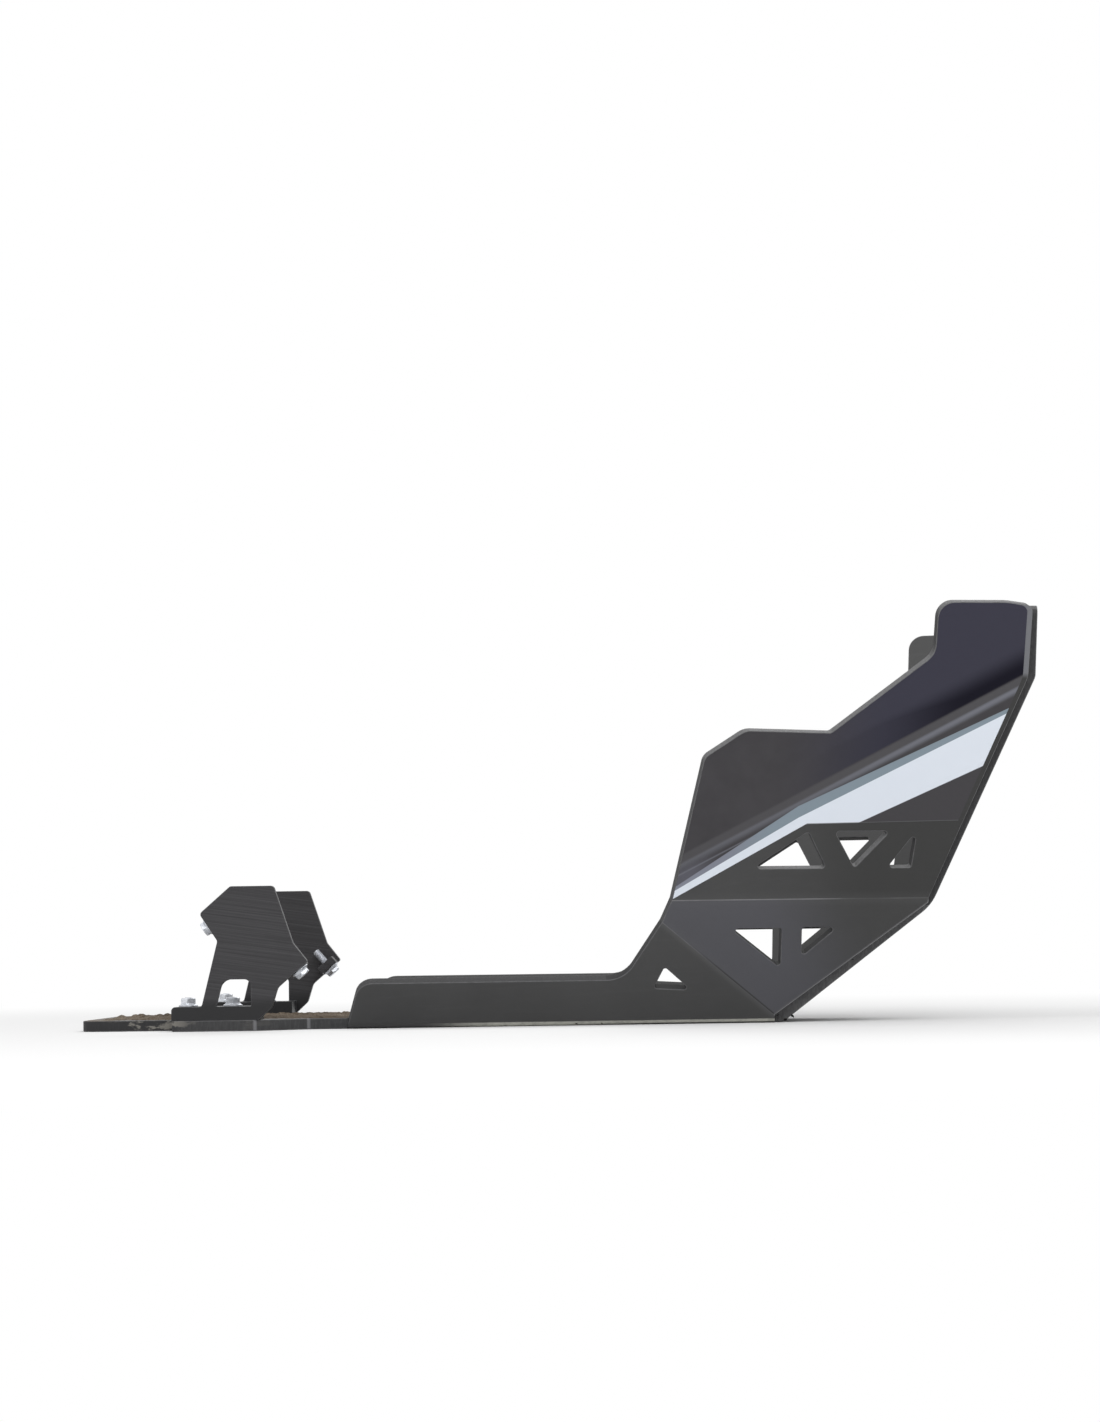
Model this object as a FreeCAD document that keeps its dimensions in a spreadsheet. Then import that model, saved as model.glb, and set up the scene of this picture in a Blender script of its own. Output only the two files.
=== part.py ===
import FreeCAD, Part
import math
import os
import Sketcher
from FreeCAD import Vector

# Motorcycle skid plate: one plastic sheet folded into a hull, with two rear brackets.
# Millimetres and degrees. +X is forward, +Y is left, +Z is up, and the bottom lies on Z = 0.

os.makedirs("parts", exist_ok=True)
doc = FreeCAD.newDocument("motorcycle_skid_plate")

DIMENSIONS = {
    # Sheet and the slopes of its side panels
    "sheet_thick": 8.0,
    "strip_yaw": 3.95,
    "strip_tilt": 30.0,
    "side_yaw": 12.0,
    "lower_tilt": 21.8,
    "wing_tilt": 18.0,
    # Front corner of the bottom, where the folds meet
    "nose_front": 166.4,
    "nose_half": 75.1,
    "corner_rise": 5.5,
    "side_bend": 8.0,
    "cut_clear": 1.0,
    # Bottom outline, measured back from the origin and out from the middle
    "tail_back": 356.0,
    "tail_half": 92.0,
    "tail_round": 14.0,
    "ear_back": 283.0,
    "ear_front": 222.0,
    "ear_half": 128.0,
    "ear_round": 4.0,
    "neck_back": 185.0,
    "relief_width": 2.0,
    "relief_depth": 10.0,
    # Side strip, along its fold and up its face
    "strip_length": 323.9,
    "strip_height": 38.3,
    "strip_lean": 9.5,
    "strip_round": 13.0,
    "gusset_foot": 119.4,
    "gusset_round": 22.0,
    "fold_rise": 75.0,
    # Lower side panel
    "waist_height": 90.8,
    "waist_back": 90.9,
    "waist_front": 103.4,
    "lower_corner_drop": 4.1,
    # Wing, measured along the waist fold and up its face
    "heel_back": 71.9,
    "heel_up": 108.0,
    "heel_round": 10.0,
    "shoulder_back": 42.5,
    "shoulder_up": 128.0,
    "shoulder_round": 14.0,
    "notch_front": 21.2,
    "notch_up": 126.0,
    "notch_round": 4.0,
    "throat_up": 184.7,
    "throat_round": 15.0,
    "tab_front": 95.7,
    "tab_up": 223.7,
    "tab_round": 12.0,
    "crown_front": 167.0,
    "crown_drop": 2.6,
    "crown_slope": 19.0,
    "crown_slope_round": 40.0,
    "crown_round": 6.0,
    "brow_front": 167.3,
    "brow_up": 167.5,
    "brow_round": 20.0,
    # Triangular vents: first corner, then the steps to the other two
    "vent_round": 2.0,
    "strip_vent_back": 97.3,
    "strip_vent_up": 30.7,
    "strip_vent_base": 27.5,
    "strip_vent_drop": 1.8,
    "strip_vent_peak": 18.2,
    "strip_vent_shift": 7.8,
    "lower_vent_back": 45.0,
    "lower_vent_up": 75.0,
    "lower_vent_base": 38.2,
    "lower_vent_depth": 31.5,
    "lower_vent_shift": 1.2,
    "small_vent_front": 8.7,
    "small_vent_base": 26.5,
    "small_vent_depth": 22.8,
    "wing_vent_up": 23.4,
    "wing_vent_high": 51.4,
    "rear_vent_back": 32.1,
    "rear_vent_base": 55.8,
    "rear_vent_shift": 41.0,
    "middle_vent_front": 28.8,
    "middle_vent_base": 41.7,
    "middle_vent_shift": 16.3,
    "front_vent_front": 70.2,
    "front_vent_base": 17.9,
    "front_vent_shift": 20.6,
    # Folded front: outer lengths, angles from the ground and outer bend radii
    "chin_length": 140.4,
    "chin_angle": 37.5,
    "face_length": 182.8,
    "face_angle": 65.1,
    "crest_length": 51.6,
    "crest_angle": 88.7,
    "chin_bend": 10.0,
    "face_bend": 35.0,
    "crest_bend": 10.0,
    "crest_round": 6.0,
    "front_slit": 1.5,
    # Holes in the bottom
    "frame_hole_front": 105.0,
    "frame_hole_half": 42.0,
    "frame_hole_width": 8.5,
    "frame_seat_width": 24.0,
    "frame_seat_deep": 3.0,
    "drain_back": 20.0,
    "drain_width": 40.0,
    # Rear bracket, from the rear corner of the ear and up from the sheet
    "foot_length": 64.5,
    "foot_depth": 34.0,
    "foot_height": 10.0,
    "foot_round": 3.0,
    "web_thick": 6.0,
    "web_back": 22.4,
    "web_neck": 34.3,
    "web_neck_up": 58.0,
    "head_back": 21.1,
    "head_back_up": 78.0,
    "head_top": 98.0,
    "head_top_back": 44.0,
    "head_top_front": 76.0,
    "lobe_upper": 90.0,
    "lobe_upper_up": 56.0,
    "lobe_tip": 100.7,
    "lobe_tip_up": 42.3,
    "lobe_lower": 78.6,
    "lobe_lower_up": 23.3,
    "head_round": 3.0,
    "tip_round": 1.5,
    "knee_front": 74.2,
    "knee_up": 9.0,
    "knee_round": 7.0,
    "root_round": 2.5,
    "window_back": 33.1,
    "window_front": 58.8,
    "window_top": 29.7,
    "window_round": 5.0,
    "window_rear_round": 8.0,
    # Tabs turned in from the web's edges, each with a bolt along the web
    "tab_depth": 24.0,
    "tab_half": 7.5,
    "tab_bolt_inset": 13.0,
    "lobe_bolt_along": 19.3,
    "neck_bolt_along": 10.8,
    "hanger_bolt_length": 18.0,
    "hanger_thread_width": 5.35,
    "hanger_head_height": 5.2,
    # Fasteners through the bracket foot
    "bolt_width": 6.0,
    "bolt_room": 0.5,
    "thread_room": 0.2,
    "bolt_first": 10.0,
    "bolt_pitch": 33.0,
    "bolt_inset": 20.0,
    "head_width": 12.0,
    "head_sunk": 0.3,
    "seat_room": 0.1,
    "bolt_past_nut": 0.4,
    "socket_across": 4.0,
    "socket_deep": 2.4,
    "nut_across": 10.0,
    "nut_height": 6.4,
    "nut_chamfer": 0.7,
    "flange_width": 14.2,
    "flange_rim": 1.1,
    "flange_rise": 2.5,
    # Printed film on the right wing
    "film_thick": 0.25,
    "film_margin": 0.6,
    "film_front_gap": 3.7,
    "film_rear_up": 0.2,
    "film_knee_front": 6.6,
    "film_knee_up": 56.7,
    "film_front_up": 58.6,
}

dim = doc.addObject("Spreadsheet::Sheet", "dim")
for row, (alias, size) in enumerate(DIMENSIONS.items(), 1):
    dim.set(f"A{row}", alias)
    dim.set(f"B{row}", str(size))
    dim.setAlias(f"B{row}", alias)
doc.recompute()


def number(expression):
    # The present value of an expression on the sheet
    return float(dim.evalExpression(expression))


def origin_plane(body, role):
    return next(f for f in body.Origin.OriginFeatures if f.Role == role)


def new_sketch(body, name, role):
    sketch = body.newObject("Sketcher::SketchObject", name)
    sketch.AttachmentSupport = [(origin_plane(body, role), "")]
    sketch.MapMode = "FlatFace"
    return sketch


def pin_point(sketch, geometry, end, point):
    # Both coordinates of a sketch point follow expressions
    for kind, expression in zip(("DistanceX", "DistanceY"), point):
        constraint = Sketcher.Constraint(kind, -1, 1, geometry, end, number(expression))
        sketch.setExpression(f"Constraints[{sketch.addConstraint(constraint)}]", expression)


def add_loop(sketch, points):
    # Closed outline of straight edges through points given as expressions
    first = sketch.GeometryCount
    places = [Vector(number(x), number(y), 0) for x, y in points]
    count = len(points)
    for i in range(count):
        sketch.addGeometry(Part.LineSegment(places[i], places[(i + 1) % count]))
    for i in range(count):
        sketch.addConstraint(Sketcher.Constraint("Coincident", first + i, 2, first + (i + 1) % count, 1))
    for i in range(count):
        pin_point(sketch, first + i, 1, points[i])


def add_circle(sketch, centre, diameter):
    place = Vector(number(centre[0]), number(centre[1]), 0)
    circle = sketch.addGeometry(Part.Circle(place, Vector(0, 0, 1), number(diameter) / 2))
    pin_point(sketch, circle, 3, centre)
    width = sketch.addConstraint(Sketcher.Constraint("Diameter", circle, number(diameter)))
    sketch.setExpression(f"Constraints[{width}]", diameter)


def add_hexagon(sketch, across):
    # Six corners about the sketch's origin, a flat to each side along X
    corner = f"{across} / 2 / cos(30)"
    turns = range(30, 390, 60)
    add_loop(sketch, [(f"{corner} * cos({turn})", f"{corner} * sin({turn})") for turn in turns])


def pad(body, sketch, length, reverse=False, middle=False):
    feature = body.newObject("PartDesign::Pad", sketch.Name + "_pad")
    feature.Profile = sketch
    feature.setExpression("Length", length)
    feature.Reversed = reverse
    if middle:
        feature.SideType = "Symmetric"
    doc.recompute()
    return feature


def pocket(body, sketch, reverse=False, depth=None):
    # Cuts through everything, or to a depth
    before = body.Shape.Volume
    feature = body.newObject("PartDesign::Pocket", sketch.Name + "_pocket")
    feature.Profile = sketch
    feature.Reversed = reverse
    if depth is None:
        feature.Type = "ThroughAll"
        feature.SideType = "Symmetric"
    else:
        feature.setExpression("Length", depth)
    doc.recompute()
    if body.Shape.Volume >= before:
        raise RuntimeError(sketch.Name + " cuts nothing")
    return feature


def revolve(body, sketch):
    feature = body.newObject("PartDesign::Revolution", sketch.Name + "_revolution")
    feature.Profile = sketch
    feature.ReferenceAxis = (sketch, ["V_Axis"])
    feature.Angle = 360
    doc.recompute()
    return feature


def round_edges(body, name, across, corners, radius, reach="0.001"):
    # Rounds the edges that run across a sketch plane within reach of the given corners
    feature = body.Tip
    names = []
    for corner in corners:
        place = [number(c) for c in corner]
        for i, edge in enumerate(feature.Shape.Edges, 1):
            ends = [vertex.Point for vertex in edge.Vertexes]
            apart = [abs(getattr(end, axis) - at) for end in ends for axis, at in zip(across, place)]
            if len(ends) == 2 and max(apart) < number(reach):
                names.append(f"Edge{i}")
    fillet = body.newObject("PartDesign::Fillet", name)
    fillet.Base = (feature, names)
    fillet.setExpression("Radius", radius)
    doc.recompute()
    return fillet


def new_body(name):
    body = doc.addObject("PartDesign::Body", name)
    body.Label = name
    return body


def mirrored(source, name):
    copy = doc.addObject("Part::Mirroring", name)
    copy.Source = source
    copy.Normal = (0, 1, 0)
    copy.Label = name
    return copy


PLAN = "xy"
SIDE = "xz"
FACE = "yz"

# How far a side panel moves out for each millimetre forward and each millimetre up
strip_out = "tan(dim.strip_tilt) / cos(dim.strip_yaw)"
lower_out = "tan(dim.lower_tilt) / cos(dim.side_yaw)"
wing_out = "tan(dim.wing_tilt) / cos(dim.side_yaw)"
# The diagonal fold runs back this far for each millimetre that it rises
fold_run = f"(({strip_out} - {lower_out}) / (tan(dim.side_yaw) - tan(dim.strip_yaw)))"


def on_fold(height, yaw, tilt):
    # A point of the diagonal fold in a panel's own coordinates
    back = f"-{height} * ({fold_run} + tan({tilt}) * sin({yaw})) / cos({yaw})"
    return back, f"{height} / cos({tilt})"


def triangle(back, up, base, shift, rise, drop="0"):
    # Vent corners: two along the base and one at the peak
    return [(back, up), (f"{back} + {base}", f"{up} - {drop}"), (f"{back} + {shift}", f"{up} + {rise}")]


def side_panel(name, origin, yaw, tilt, outline, vents, rounds):
    # A flat panel of sheet: the sketch is its outer face, thickened inwards
    body = new_body(name)
    sketch = new_sketch(body, name + "_outline", "XY_Plane")
    for loop in [outline] + vents:
        add_loop(sketch, loop)
    pad(body, sketch, "dim.sheet_thick", reverse=True)
    round_edges(body, name + "_vent_corners", PLAN, sum(vents, []), "dim.vent_round")
    for i, (corner, radius) in enumerate(rounds):
        round_edges(body, f"{name}_round_{i}", PLAN, [corner], radius)
    place = "; ".join(origin)
    body.setExpression("Placement", f"placement(vector({place}); rotation({yaw}; 0; 90 + {tilt}))")
    return body


# Side strip, from the bottom's fold up to the diagonal fold
nose = ("dim.nose_front", "-dim.nose_half", "0")
strip_top = on_fold("dim.fold_rise", "dim.strip_yaw", "dim.strip_tilt")
strip_tip = on_fold("dim.corner_rise", "dim.strip_yaw", "dim.strip_tilt")
corner_back = f"({fold_run} * dim.corner_rise)"
strip_front = (f"-{corner_back} / cos(dim.strip_yaw)", "0")
strip_rear_top = ("dim.strip_lean - dim.strip_length", "dim.strip_height")
gusset_corner = ("-dim.gusset_foot", "dim.strip_height")
strip_outline = [("-dim.strip_length", "0"), strip_front, strip_tip, strip_top, gusset_corner, strip_rear_top]
strip_vent = triangle("-dim.strip_vent_back", "dim.strip_vent_up", "dim.strip_vent_base",
                      "dim.strip_vent_shift", "dim.strip_vent_peak", "dim.strip_vent_drop")
strip = side_panel("strip_right", nose, "dim.strip_yaw", "dim.strip_tilt", strip_outline, [strip_vent],
                   [(strip_rear_top, "dim.strip_round"), (gusset_corner, "dim.gusset_round")])

# Lower side panel, between the diagonal fold and the waist fold
waist_up = "(dim.waist_height / cos(dim.lower_tilt))"
lower_tip = on_fold("dim.corner_rise", "dim.side_yaw", "dim.lower_tilt")
lower_back = on_fold("dim.fold_rise", "dim.side_yaw", "dim.lower_tilt")
lower_corner = ("dim.waist_front", f"({waist_up} - dim.lower_corner_drop)")
lower_outline = [lower_tip, lower_corner, ("dim.waist_front", waist_up), ("-dim.waist_back", waist_up),
                 lower_back]
lower_vent = triangle("-dim.lower_vent_back", "dim.lower_vent_up", "dim.lower_vent_base",
                      "dim.lower_vent_base + dim.lower_vent_shift", "-dim.lower_vent_depth")
small_vent = triangle("dim.small_vent_front", "dim.lower_vent_up", "dim.small_vent_base",
                      "dim.lower_vent_shift", "-dim.small_vent_depth")
lower = side_panel("lower_right", nose, "dim.side_yaw", "dim.lower_tilt", lower_outline,
                   [lower_vent, small_vent], [])

# Wing, above the waist fold
waist_out = "(dim.waist_height * tan(dim.lower_tilt))"
waist = (f"dim.nose_front + {waist_out} * sin(dim.side_yaw)",
         f"-dim.nose_half - {waist_out} * cos(dim.side_yaw)", "dim.waist_height")
heel = ("-dim.heel_back", "dim.heel_up")
shoulder = ("-dim.shoulder_back", "dim.shoulder_up")
notch = ("dim.notch_front", "dim.notch_up")
throat = ("dim.tab_front", "dim.throat_up")
tab = ("dim.tab_front", "dim.tab_up")
slope_top = ("(dim.crown_front - dim.crown_slope)", "dim.tab_up")
crown = ("dim.crown_front", "(dim.tab_up - dim.crown_drop)")
brow = ("dim.brow_front", "dim.brow_up")
wing_rounds = [(heel, "dim.heel_round"), (shoulder, "dim.shoulder_round"), (notch, "dim.notch_round"),
               (throat, "dim.throat_round"), (tab, "dim.tab_round"), (slope_top, "dim.crown_slope_round"),
               (crown, "dim.crown_round"), (brow, "dim.brow_round")]
wing_outline = [("-dim.waist_back", "0"), ("dim.waist_front", "0"), brow, crown, slope_top, tab, throat,
                notch, shoulder, heel]
vent_rise = "(dim.wing_vent_high - dim.wing_vent_up)"
rear_vent = triangle("-dim.rear_vent_back", "dim.wing_vent_up", "dim.rear_vent_base",
                     "dim.rear_vent_shift", vent_rise)
middle_vent = triangle("dim.middle_vent_front", "dim.wing_vent_high", "dim.middle_vent_base",
                       "dim.middle_vent_shift", f"-{vent_rise}")
front_vent = triangle("dim.front_vent_front", "dim.wing_vent_up", "dim.front_vent_base",
                      "dim.front_vent_shift", vent_rise)
wing = side_panel("wing_right", waist, "dim.side_yaw", "dim.wing_tilt", wing_outline,
                  [rear_vent, middle_vent, front_vent], wing_rounds)

# Bottom: nose, neck, ears and tail in one flat outline
corner_front = f"(dim.nose_front - {corner_back})"
corner_half = f"(dim.nose_half + {corner_back} * tan(dim.strip_yaw))"
neck_half = "(dim.nose_half + dim.strip_length * sin(dim.strip_yaw))"
neck_front = "(dim.nose_front - dim.strip_length * cos(dim.strip_yaw))"
lower_skin = "(dim.sheet_thick / cos(dim.lower_tilt) / cos(dim.side_yaw))"
wing_skin = "(dim.sheet_thick / cos(dim.wing_tilt) / cos(dim.side_yaw))"
chin_half = f"(dim.nose_half - {lower_skin} - dim.front_slit)"
right_edge = [
    ("-dim.tail_back", "dim.tail_half"),
    ("-dim.ear_back", "dim.tail_half"),
    ("-dim.ear_back", "dim.ear_half"),
    ("-dim.ear_front", "dim.ear_half"),
    ("-dim.neck_back", neck_half),
    (neck_front, neck_half),
    (corner_front, corner_half),
    (corner_front, f"({chin_half} + dim.relief_width)"),
    (f"{corner_front} - dim.relief_depth", f"({chin_half} + dim.relief_width)"),
    (f"{corner_front} - dim.relief_depth", chin_half),
    (corner_front, chin_half),
]
bottom = new_body("bottom")
bottom_sketch = new_sketch(bottom, "bottom_outline", "XY_Plane")
add_loop(bottom_sketch, [(x, f"-{y}") for x, y in right_edge] + right_edge[::-1])
pad(bottom, bottom_sketch, "dim.sheet_thick")
tail_corners = [right_edge[0], (right_edge[0][0], "-dim.tail_half")]
round_edges(bottom, "tail_corners", PLAN, tail_corners, "dim.tail_round")
ear_corners = [(x, sign + "dim.ear_half") for x in ("-dim.ear_back", "-dim.ear_front") for sign in ("", "-")]
round_edges(bottom, "ear_corners", PLAN, ear_corners, "dim.ear_round")

# Folded front: one strip of sheet bent three times, drawn in side view
chin_top = ("(dim.nose_front + dim.chin_length * cos(dim.chin_angle))",
            "(dim.chin_length * sin(dim.chin_angle))")
face_top = (f"({chin_top[0]} + dim.face_length * cos(dim.face_angle))",
            f"({chin_top[1]} + dim.face_length * sin(dim.face_angle))")
crest_top = (f"({face_top[0]} + dim.crest_length * cos(dim.crest_angle))",
             f"({face_top[1]} + dim.crest_length * sin(dim.crest_angle))")


def inner_corner(point, before, after):
    # The inner face's corner at a bend, where both runs are one thickness in
    reach = f"dim.sheet_thick / cos(({after} - {before}) / 2)"
    middle = f"(({before} + {after}) / 2)"
    return f"{point[0]} - {reach} * sin{middle}", f"{point[1]} + {reach} * cos{middle}"


bends = [
    (("dim.nose_front", "0"), "0", "dim.chin_angle", "dim.chin_bend"),
    (chin_top, "dim.chin_angle", "dim.face_angle", "dim.face_bend"),
    (face_top, "dim.face_angle", "dim.crest_angle", "dim.crest_bend"),
]
front_back = f"{corner_front} - dim.relief_depth"
front_inner = [inner_corner(point, before, after) for point, before, after, radius in bends]
crest_inner = (f"{crest_top[0]} - dim.sheet_thick * sin(dim.crest_angle)",
               f"{crest_top[1]} + dim.sheet_thick * cos(dim.crest_angle)")
front_loop = ([(front_back, "0")] + [bend[0] for bend in bends] + [crest_top, crest_inner]
              + front_inner[::-1] + [(front_back, "dim.sheet_thick")])


def lower_half(point):
    return f"({chin_half} + tan(dim.side_yaw) * (dim.nose_front - {point[0]}) + {lower_out} * {point[1]})"


def wing_half(point):
    # Inner face of the wing less the slit, at a point of the side view
    inward = f"tan(dim.side_yaw) * (dim.nose_front - {point[0]})"
    outward = f"{lower_out} * dim.waist_height + {wing_out} * ({point[1]} - dim.waist_height)"
    return f"(dim.nose_half - {wing_skin} - dim.front_slit + {inward} + {outward})"


front = new_body("front")
front_sketch = new_sketch(front, "front_section", "XZ_Plane")
add_loop(front_sketch, front_loop)
front_span = f"2 * ({wing_half(crest_top)} + dim.sheet_thick)"
pad(front, front_sketch, front_span, middle=True)
for i, (point, before, after, radius) in enumerate(bends):
    round_edges(front, f"outer_bend_{i}", SIDE, [point], radius)
    round_edges(front, f"inner_bend_{i}", SIDE, [front_inner[i]], f"{radius} - dim.sheet_thick")
front_trim = new_sketch(front, "front_trim", "YZ_Plane")
above_crest = f"({crest_top[1]} + dim.sheet_thick)"
side_line = [(chin_half, "-dim.sheet_thick"), (chin_half, "0"), (lower_half(chin_top), chin_top[1]),
             (wing_half(face_top), face_top[1]), (wing_half((crest_top[0], above_crest)), above_crest)]
for sign in ("", "-"):
    edge = [(f"{sign}{half}", height) for half, height in side_line]
    beyond = f"{sign}{front_span}"
    add_loop(front_trim, edge + [(beyond, above_crest), (beyond, "-dim.sheet_thick")])
pocket(front, front_trim)
crest_corners = [(sign + wing_half(crest_top), crest_top[1]) for sign in ("", "-")]
round_edges(front, "crest_corners", FACE, crest_corners, "dim.crest_round", reach="dim.crest_round / 8")

# The whole sheet as one solid
right_panels = [strip, lower, wing]
left_panels = [mirrored(panel, panel.Name.replace("right", "left")) for panel in right_panels]
folded = doc.addObject("Part::MultiFuse", "folded_sheet")
folded.Shapes = [bottom, front] + right_panels + left_panels
folded.Refine = True

# Corner slivers that the long side folds lose to their outer bend radius
bend_reach = "(dim.side_bend * tan(45 - dim.strip_tilt / 2))"
sliver = new_body("fold_sliver_right")
sliver_sketch = new_sketch(sliver, "sliver_corner", "XY_Plane")
add_loop(sliver_sketch, [
    (f"-{bend_reach}", "0"),
    ("dim.cut_clear * cos(dim.strip_tilt)", "-dim.cut_clear * (1 + sin(dim.strip_tilt))"),
    (f"{bend_reach} * sin(dim.strip_tilt)", f"{bend_reach} * cos(dim.strip_tilt)"),
])
pad(sliver, sliver_sketch, "dim.strip_length")
bend_round = new_sketch(sliver, "sliver_round", "XY_Plane")
add_circle(bend_round, (f"-{bend_reach}", "dim.side_bend"), "2 * dim.side_bend")
pocket(sliver, bend_round)
nose_place = "; ".join(nose)
sliver.setExpression("Placement", f"placement(vector({nose_place}); rotation(dim.strip_yaw - 90; 0; 90))")
slivers = doc.addObject("Part::Compound", "fold_slivers")
slivers.Links = [sliver, mirrored(sliver, "fold_sliver_left")]
rounded = doc.addObject("Part::Cut", "rounded_sheet")
rounded.Base = folded
rounded.Tool = slivers
doc.recompute()
plate = new_body("skid_plate")
plate.BaseFeature = rounded
doc.recompute()

# Fastener places on the ears, frame holes with sunk seats, and the drain opening
bolt_half = "(dim.ear_half - dim.bolt_inset)"
bolt_rear = "(dim.bolt_first - dim.ear_back)"
bolt_places = [(x, sign + bolt_half) for x in (bolt_rear, f"({bolt_rear} + dim.bolt_pitch)")
               for sign in ("", "-")]
bolt_hole = "(dim.bolt_width + dim.bolt_room)"
screw_holes = new_sketch(plate, "screw_holes", "XY_Plane")
for place in bolt_places:
    add_circle(screw_holes, place, bolt_hole)
doc.recompute()
sunk = plate.newObject("PartDesign::Hole", "sunk_screw_holes")
sunk.Profile = screw_holes
sunk.Reversed = True
doc.recompute()
sunk.DepthType = "ThroughAll"
sunk.HoleCutType = "Countersink"
sunk.HoleCutCustomValues = True
sunk.setExpression("Diameter", bolt_hole)
sunk.setExpression("HoleCutDiameter", "dim.head_width + 2 * (dim.head_sunk + dim.seat_room)")
sunk.HoleCutCountersinkAngle = 90
doc.recompute()

frame_places = [("dim.frame_hole_front", sign + "dim.frame_hole_half") for sign in ("", "-")]
frame_holes = new_sketch(plate, "frame_holes", "XY_Plane")
for place in frame_places:
    add_circle(frame_holes, place, "dim.frame_hole_width")
add_circle(frame_holes, ("-dim.drain_back", "0"), "dim.drain_width")
pocket(plate, frame_holes, reverse=True, depth="2 * dim.sheet_thick")
frame_seats = new_sketch(plate, "frame_seats", "XY_Plane")
for place in frame_places:
    add_circle(frame_seats, place, "dim.frame_seat_width")
pocket(plate, frame_seats, reverse=True, depth="dim.frame_seat_deep")


def along_edge(start, end, run, inward="0"):
    # A point of the web's side view, run along an edge of its outline and moved inward from it
    x = f"({end[0]} - {start[0]})"
    z = f"({end[1]} - {start[1]})"
    span = f"hypot({x}; {z})"
    ahead = f"{start[0]} + ({run} * {x} - {inward} * {z}) / {span}"
    upward = f"{start[1]} + ({run} * {z} + {inward} * {x}) / {span}"
    return ahead, upward


def outward_turn(start, end):
    # Turn about the cross axis that takes the upward direction to the edge's outward one
    return f"180 deg - atan2({end[1]} - {start[1]}; {end[0]} - {start[0]})"


# Rear bracket: a profiled web on a thick foot, set on the ear
bracket = new_body("bracket_right")
web_sketch = new_sketch(bracket, "web_outline", "XZ_Plane")
knee = ("dim.knee_front", "dim.knee_up")
lobe_lower = ("dim.lobe_lower", "dim.lobe_lower_up")
lobe_tip = ("dim.lobe_tip", "dim.lobe_tip_up")
lobe_upper = ("dim.lobe_upper", "dim.lobe_upper_up")
head_front = ("dim.head_top_front", "dim.head_top")
head_rear = ("dim.head_top_back", "dim.head_top")
head_back = ("dim.head_back", "dim.head_back_up")
web_neck = ("dim.web_neck", "dim.web_neck_up")
web_foot = ("dim.web_back", "dim.foot_height")
foot_heel = ("0", "dim.foot_height")
hanger_seats = [(lobe_lower, lobe_tip, "dim.lobe_bolt_along"), (head_back, web_neck, "dim.neck_bolt_along")]
add_loop(web_sketch, [("0", "0"), ("dim.foot_length", "0"), knee, lobe_lower, lobe_tip, lobe_upper,
                      head_front, head_rear, head_back, web_neck, web_foot, foot_heel])
pad(bracket, web_sketch, "dim.web_thick", reverse=True)
foot_sketch = new_sketch(bracket, "foot_outline", "XZ_Plane")
foot_toe = ("dim.foot_length", "dim.foot_height")
add_loop(foot_sketch, [("0", "0"), ("dim.foot_length", "0"), foot_toe, foot_heel])
pad(bracket, foot_sketch, "dim.foot_depth", reverse=True)
head_corners = [lobe_upper, head_front, head_rear, head_back, web_neck]
round_edges(bracket, "head_corners", SIDE, head_corners, "dim.head_round")
round_edges(bracket, "tip_corner", SIDE, [lobe_tip], "dim.tip_round")
round_edges(bracket, "foot_corner", SIDE, [foot_heel], "dim.foot_round")
round_edges(bracket, "knee_corners", SIDE, [knee, lobe_lower], "dim.knee_round")
round_edges(bracket, "root_corner", SIDE, [web_foot], "dim.root_round")
window = new_sketch(bracket, "web_window", "XZ_Plane")
web_slope = "(dim.web_neck - dim.web_back) / (dim.web_neck_up - dim.foot_height)"
window_rear = (f"dim.window_back + {web_slope} * (dim.window_top - dim.foot_height)", "dim.window_top")
window_fore = ("dim.window_front", "dim.window_top")
window_base = [("dim.window_back", "dim.foot_height"), ("dim.window_front", "dim.foot_height")]
add_loop(window, window_base + [window_fore, window_rear])
pocket(bracket, window)
round_edges(bracket, "window_front_corner", SIDE, [window_fore], "dim.window_round")
round_edges(bracket, "window_rear_corner", SIDE, [window_rear], "dim.window_rear_round")
tabs = new_sketch(bracket, "tab_sections", "XZ_Plane")
for start, end, along in hanger_seats:
    tab_ends = [f"({along} - dim.tab_half)", f"({along} + dim.tab_half)"]
    outer = [along_edge(start, end, run) for run in tab_ends]
    inner = [along_edge(start, end, run, "dim.web_thick") for run in tab_ends]
    add_loop(tabs, outer + inner[::-1])
pad(bracket, tabs, "dim.tab_depth", reverse=True)
tapped = "((dim.bolt_width + dim.thread_room) / 2)"
for i, (start, end, along) in enumerate(hanger_seats):
    x, z = along_edge(start, end, along, "(dim.web_thick + dim.cut_clear)")
    tap = bracket.newObject("PartDesign::SubtractiveCylinder", f"tab_hole_{i}")
    tap.setExpression("Radius", tapped)
    tap.setExpression("Height", "dim.web_thick + 2 * dim.cut_clear")
    turn = outward_turn(start, end)
    tap.setExpression("Placement", f"placement(vector({x}; dim.tab_bolt_inset; {z}); rotation(0; {turn}; 0))")
    doc.recompute()
foot_holes = new_sketch(bracket, "foot_holes", "XY_Plane")
for along in ("dim.bolt_first", "(dim.bolt_first + dim.bolt_pitch)"):
    add_circle(foot_holes, (along, "dim.bolt_inset"), bolt_hole)
pocket(bracket, foot_holes)
bracket.setExpression("Placement.Base.x", "-dim.ear_back")
bracket.setExpression("Placement.Base.y", "-dim.ear_half")
bracket.setExpression("Placement.Base.z", "dim.sheet_thick")
bracket_left = mirrored(bracket, "bracket_left")


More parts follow.
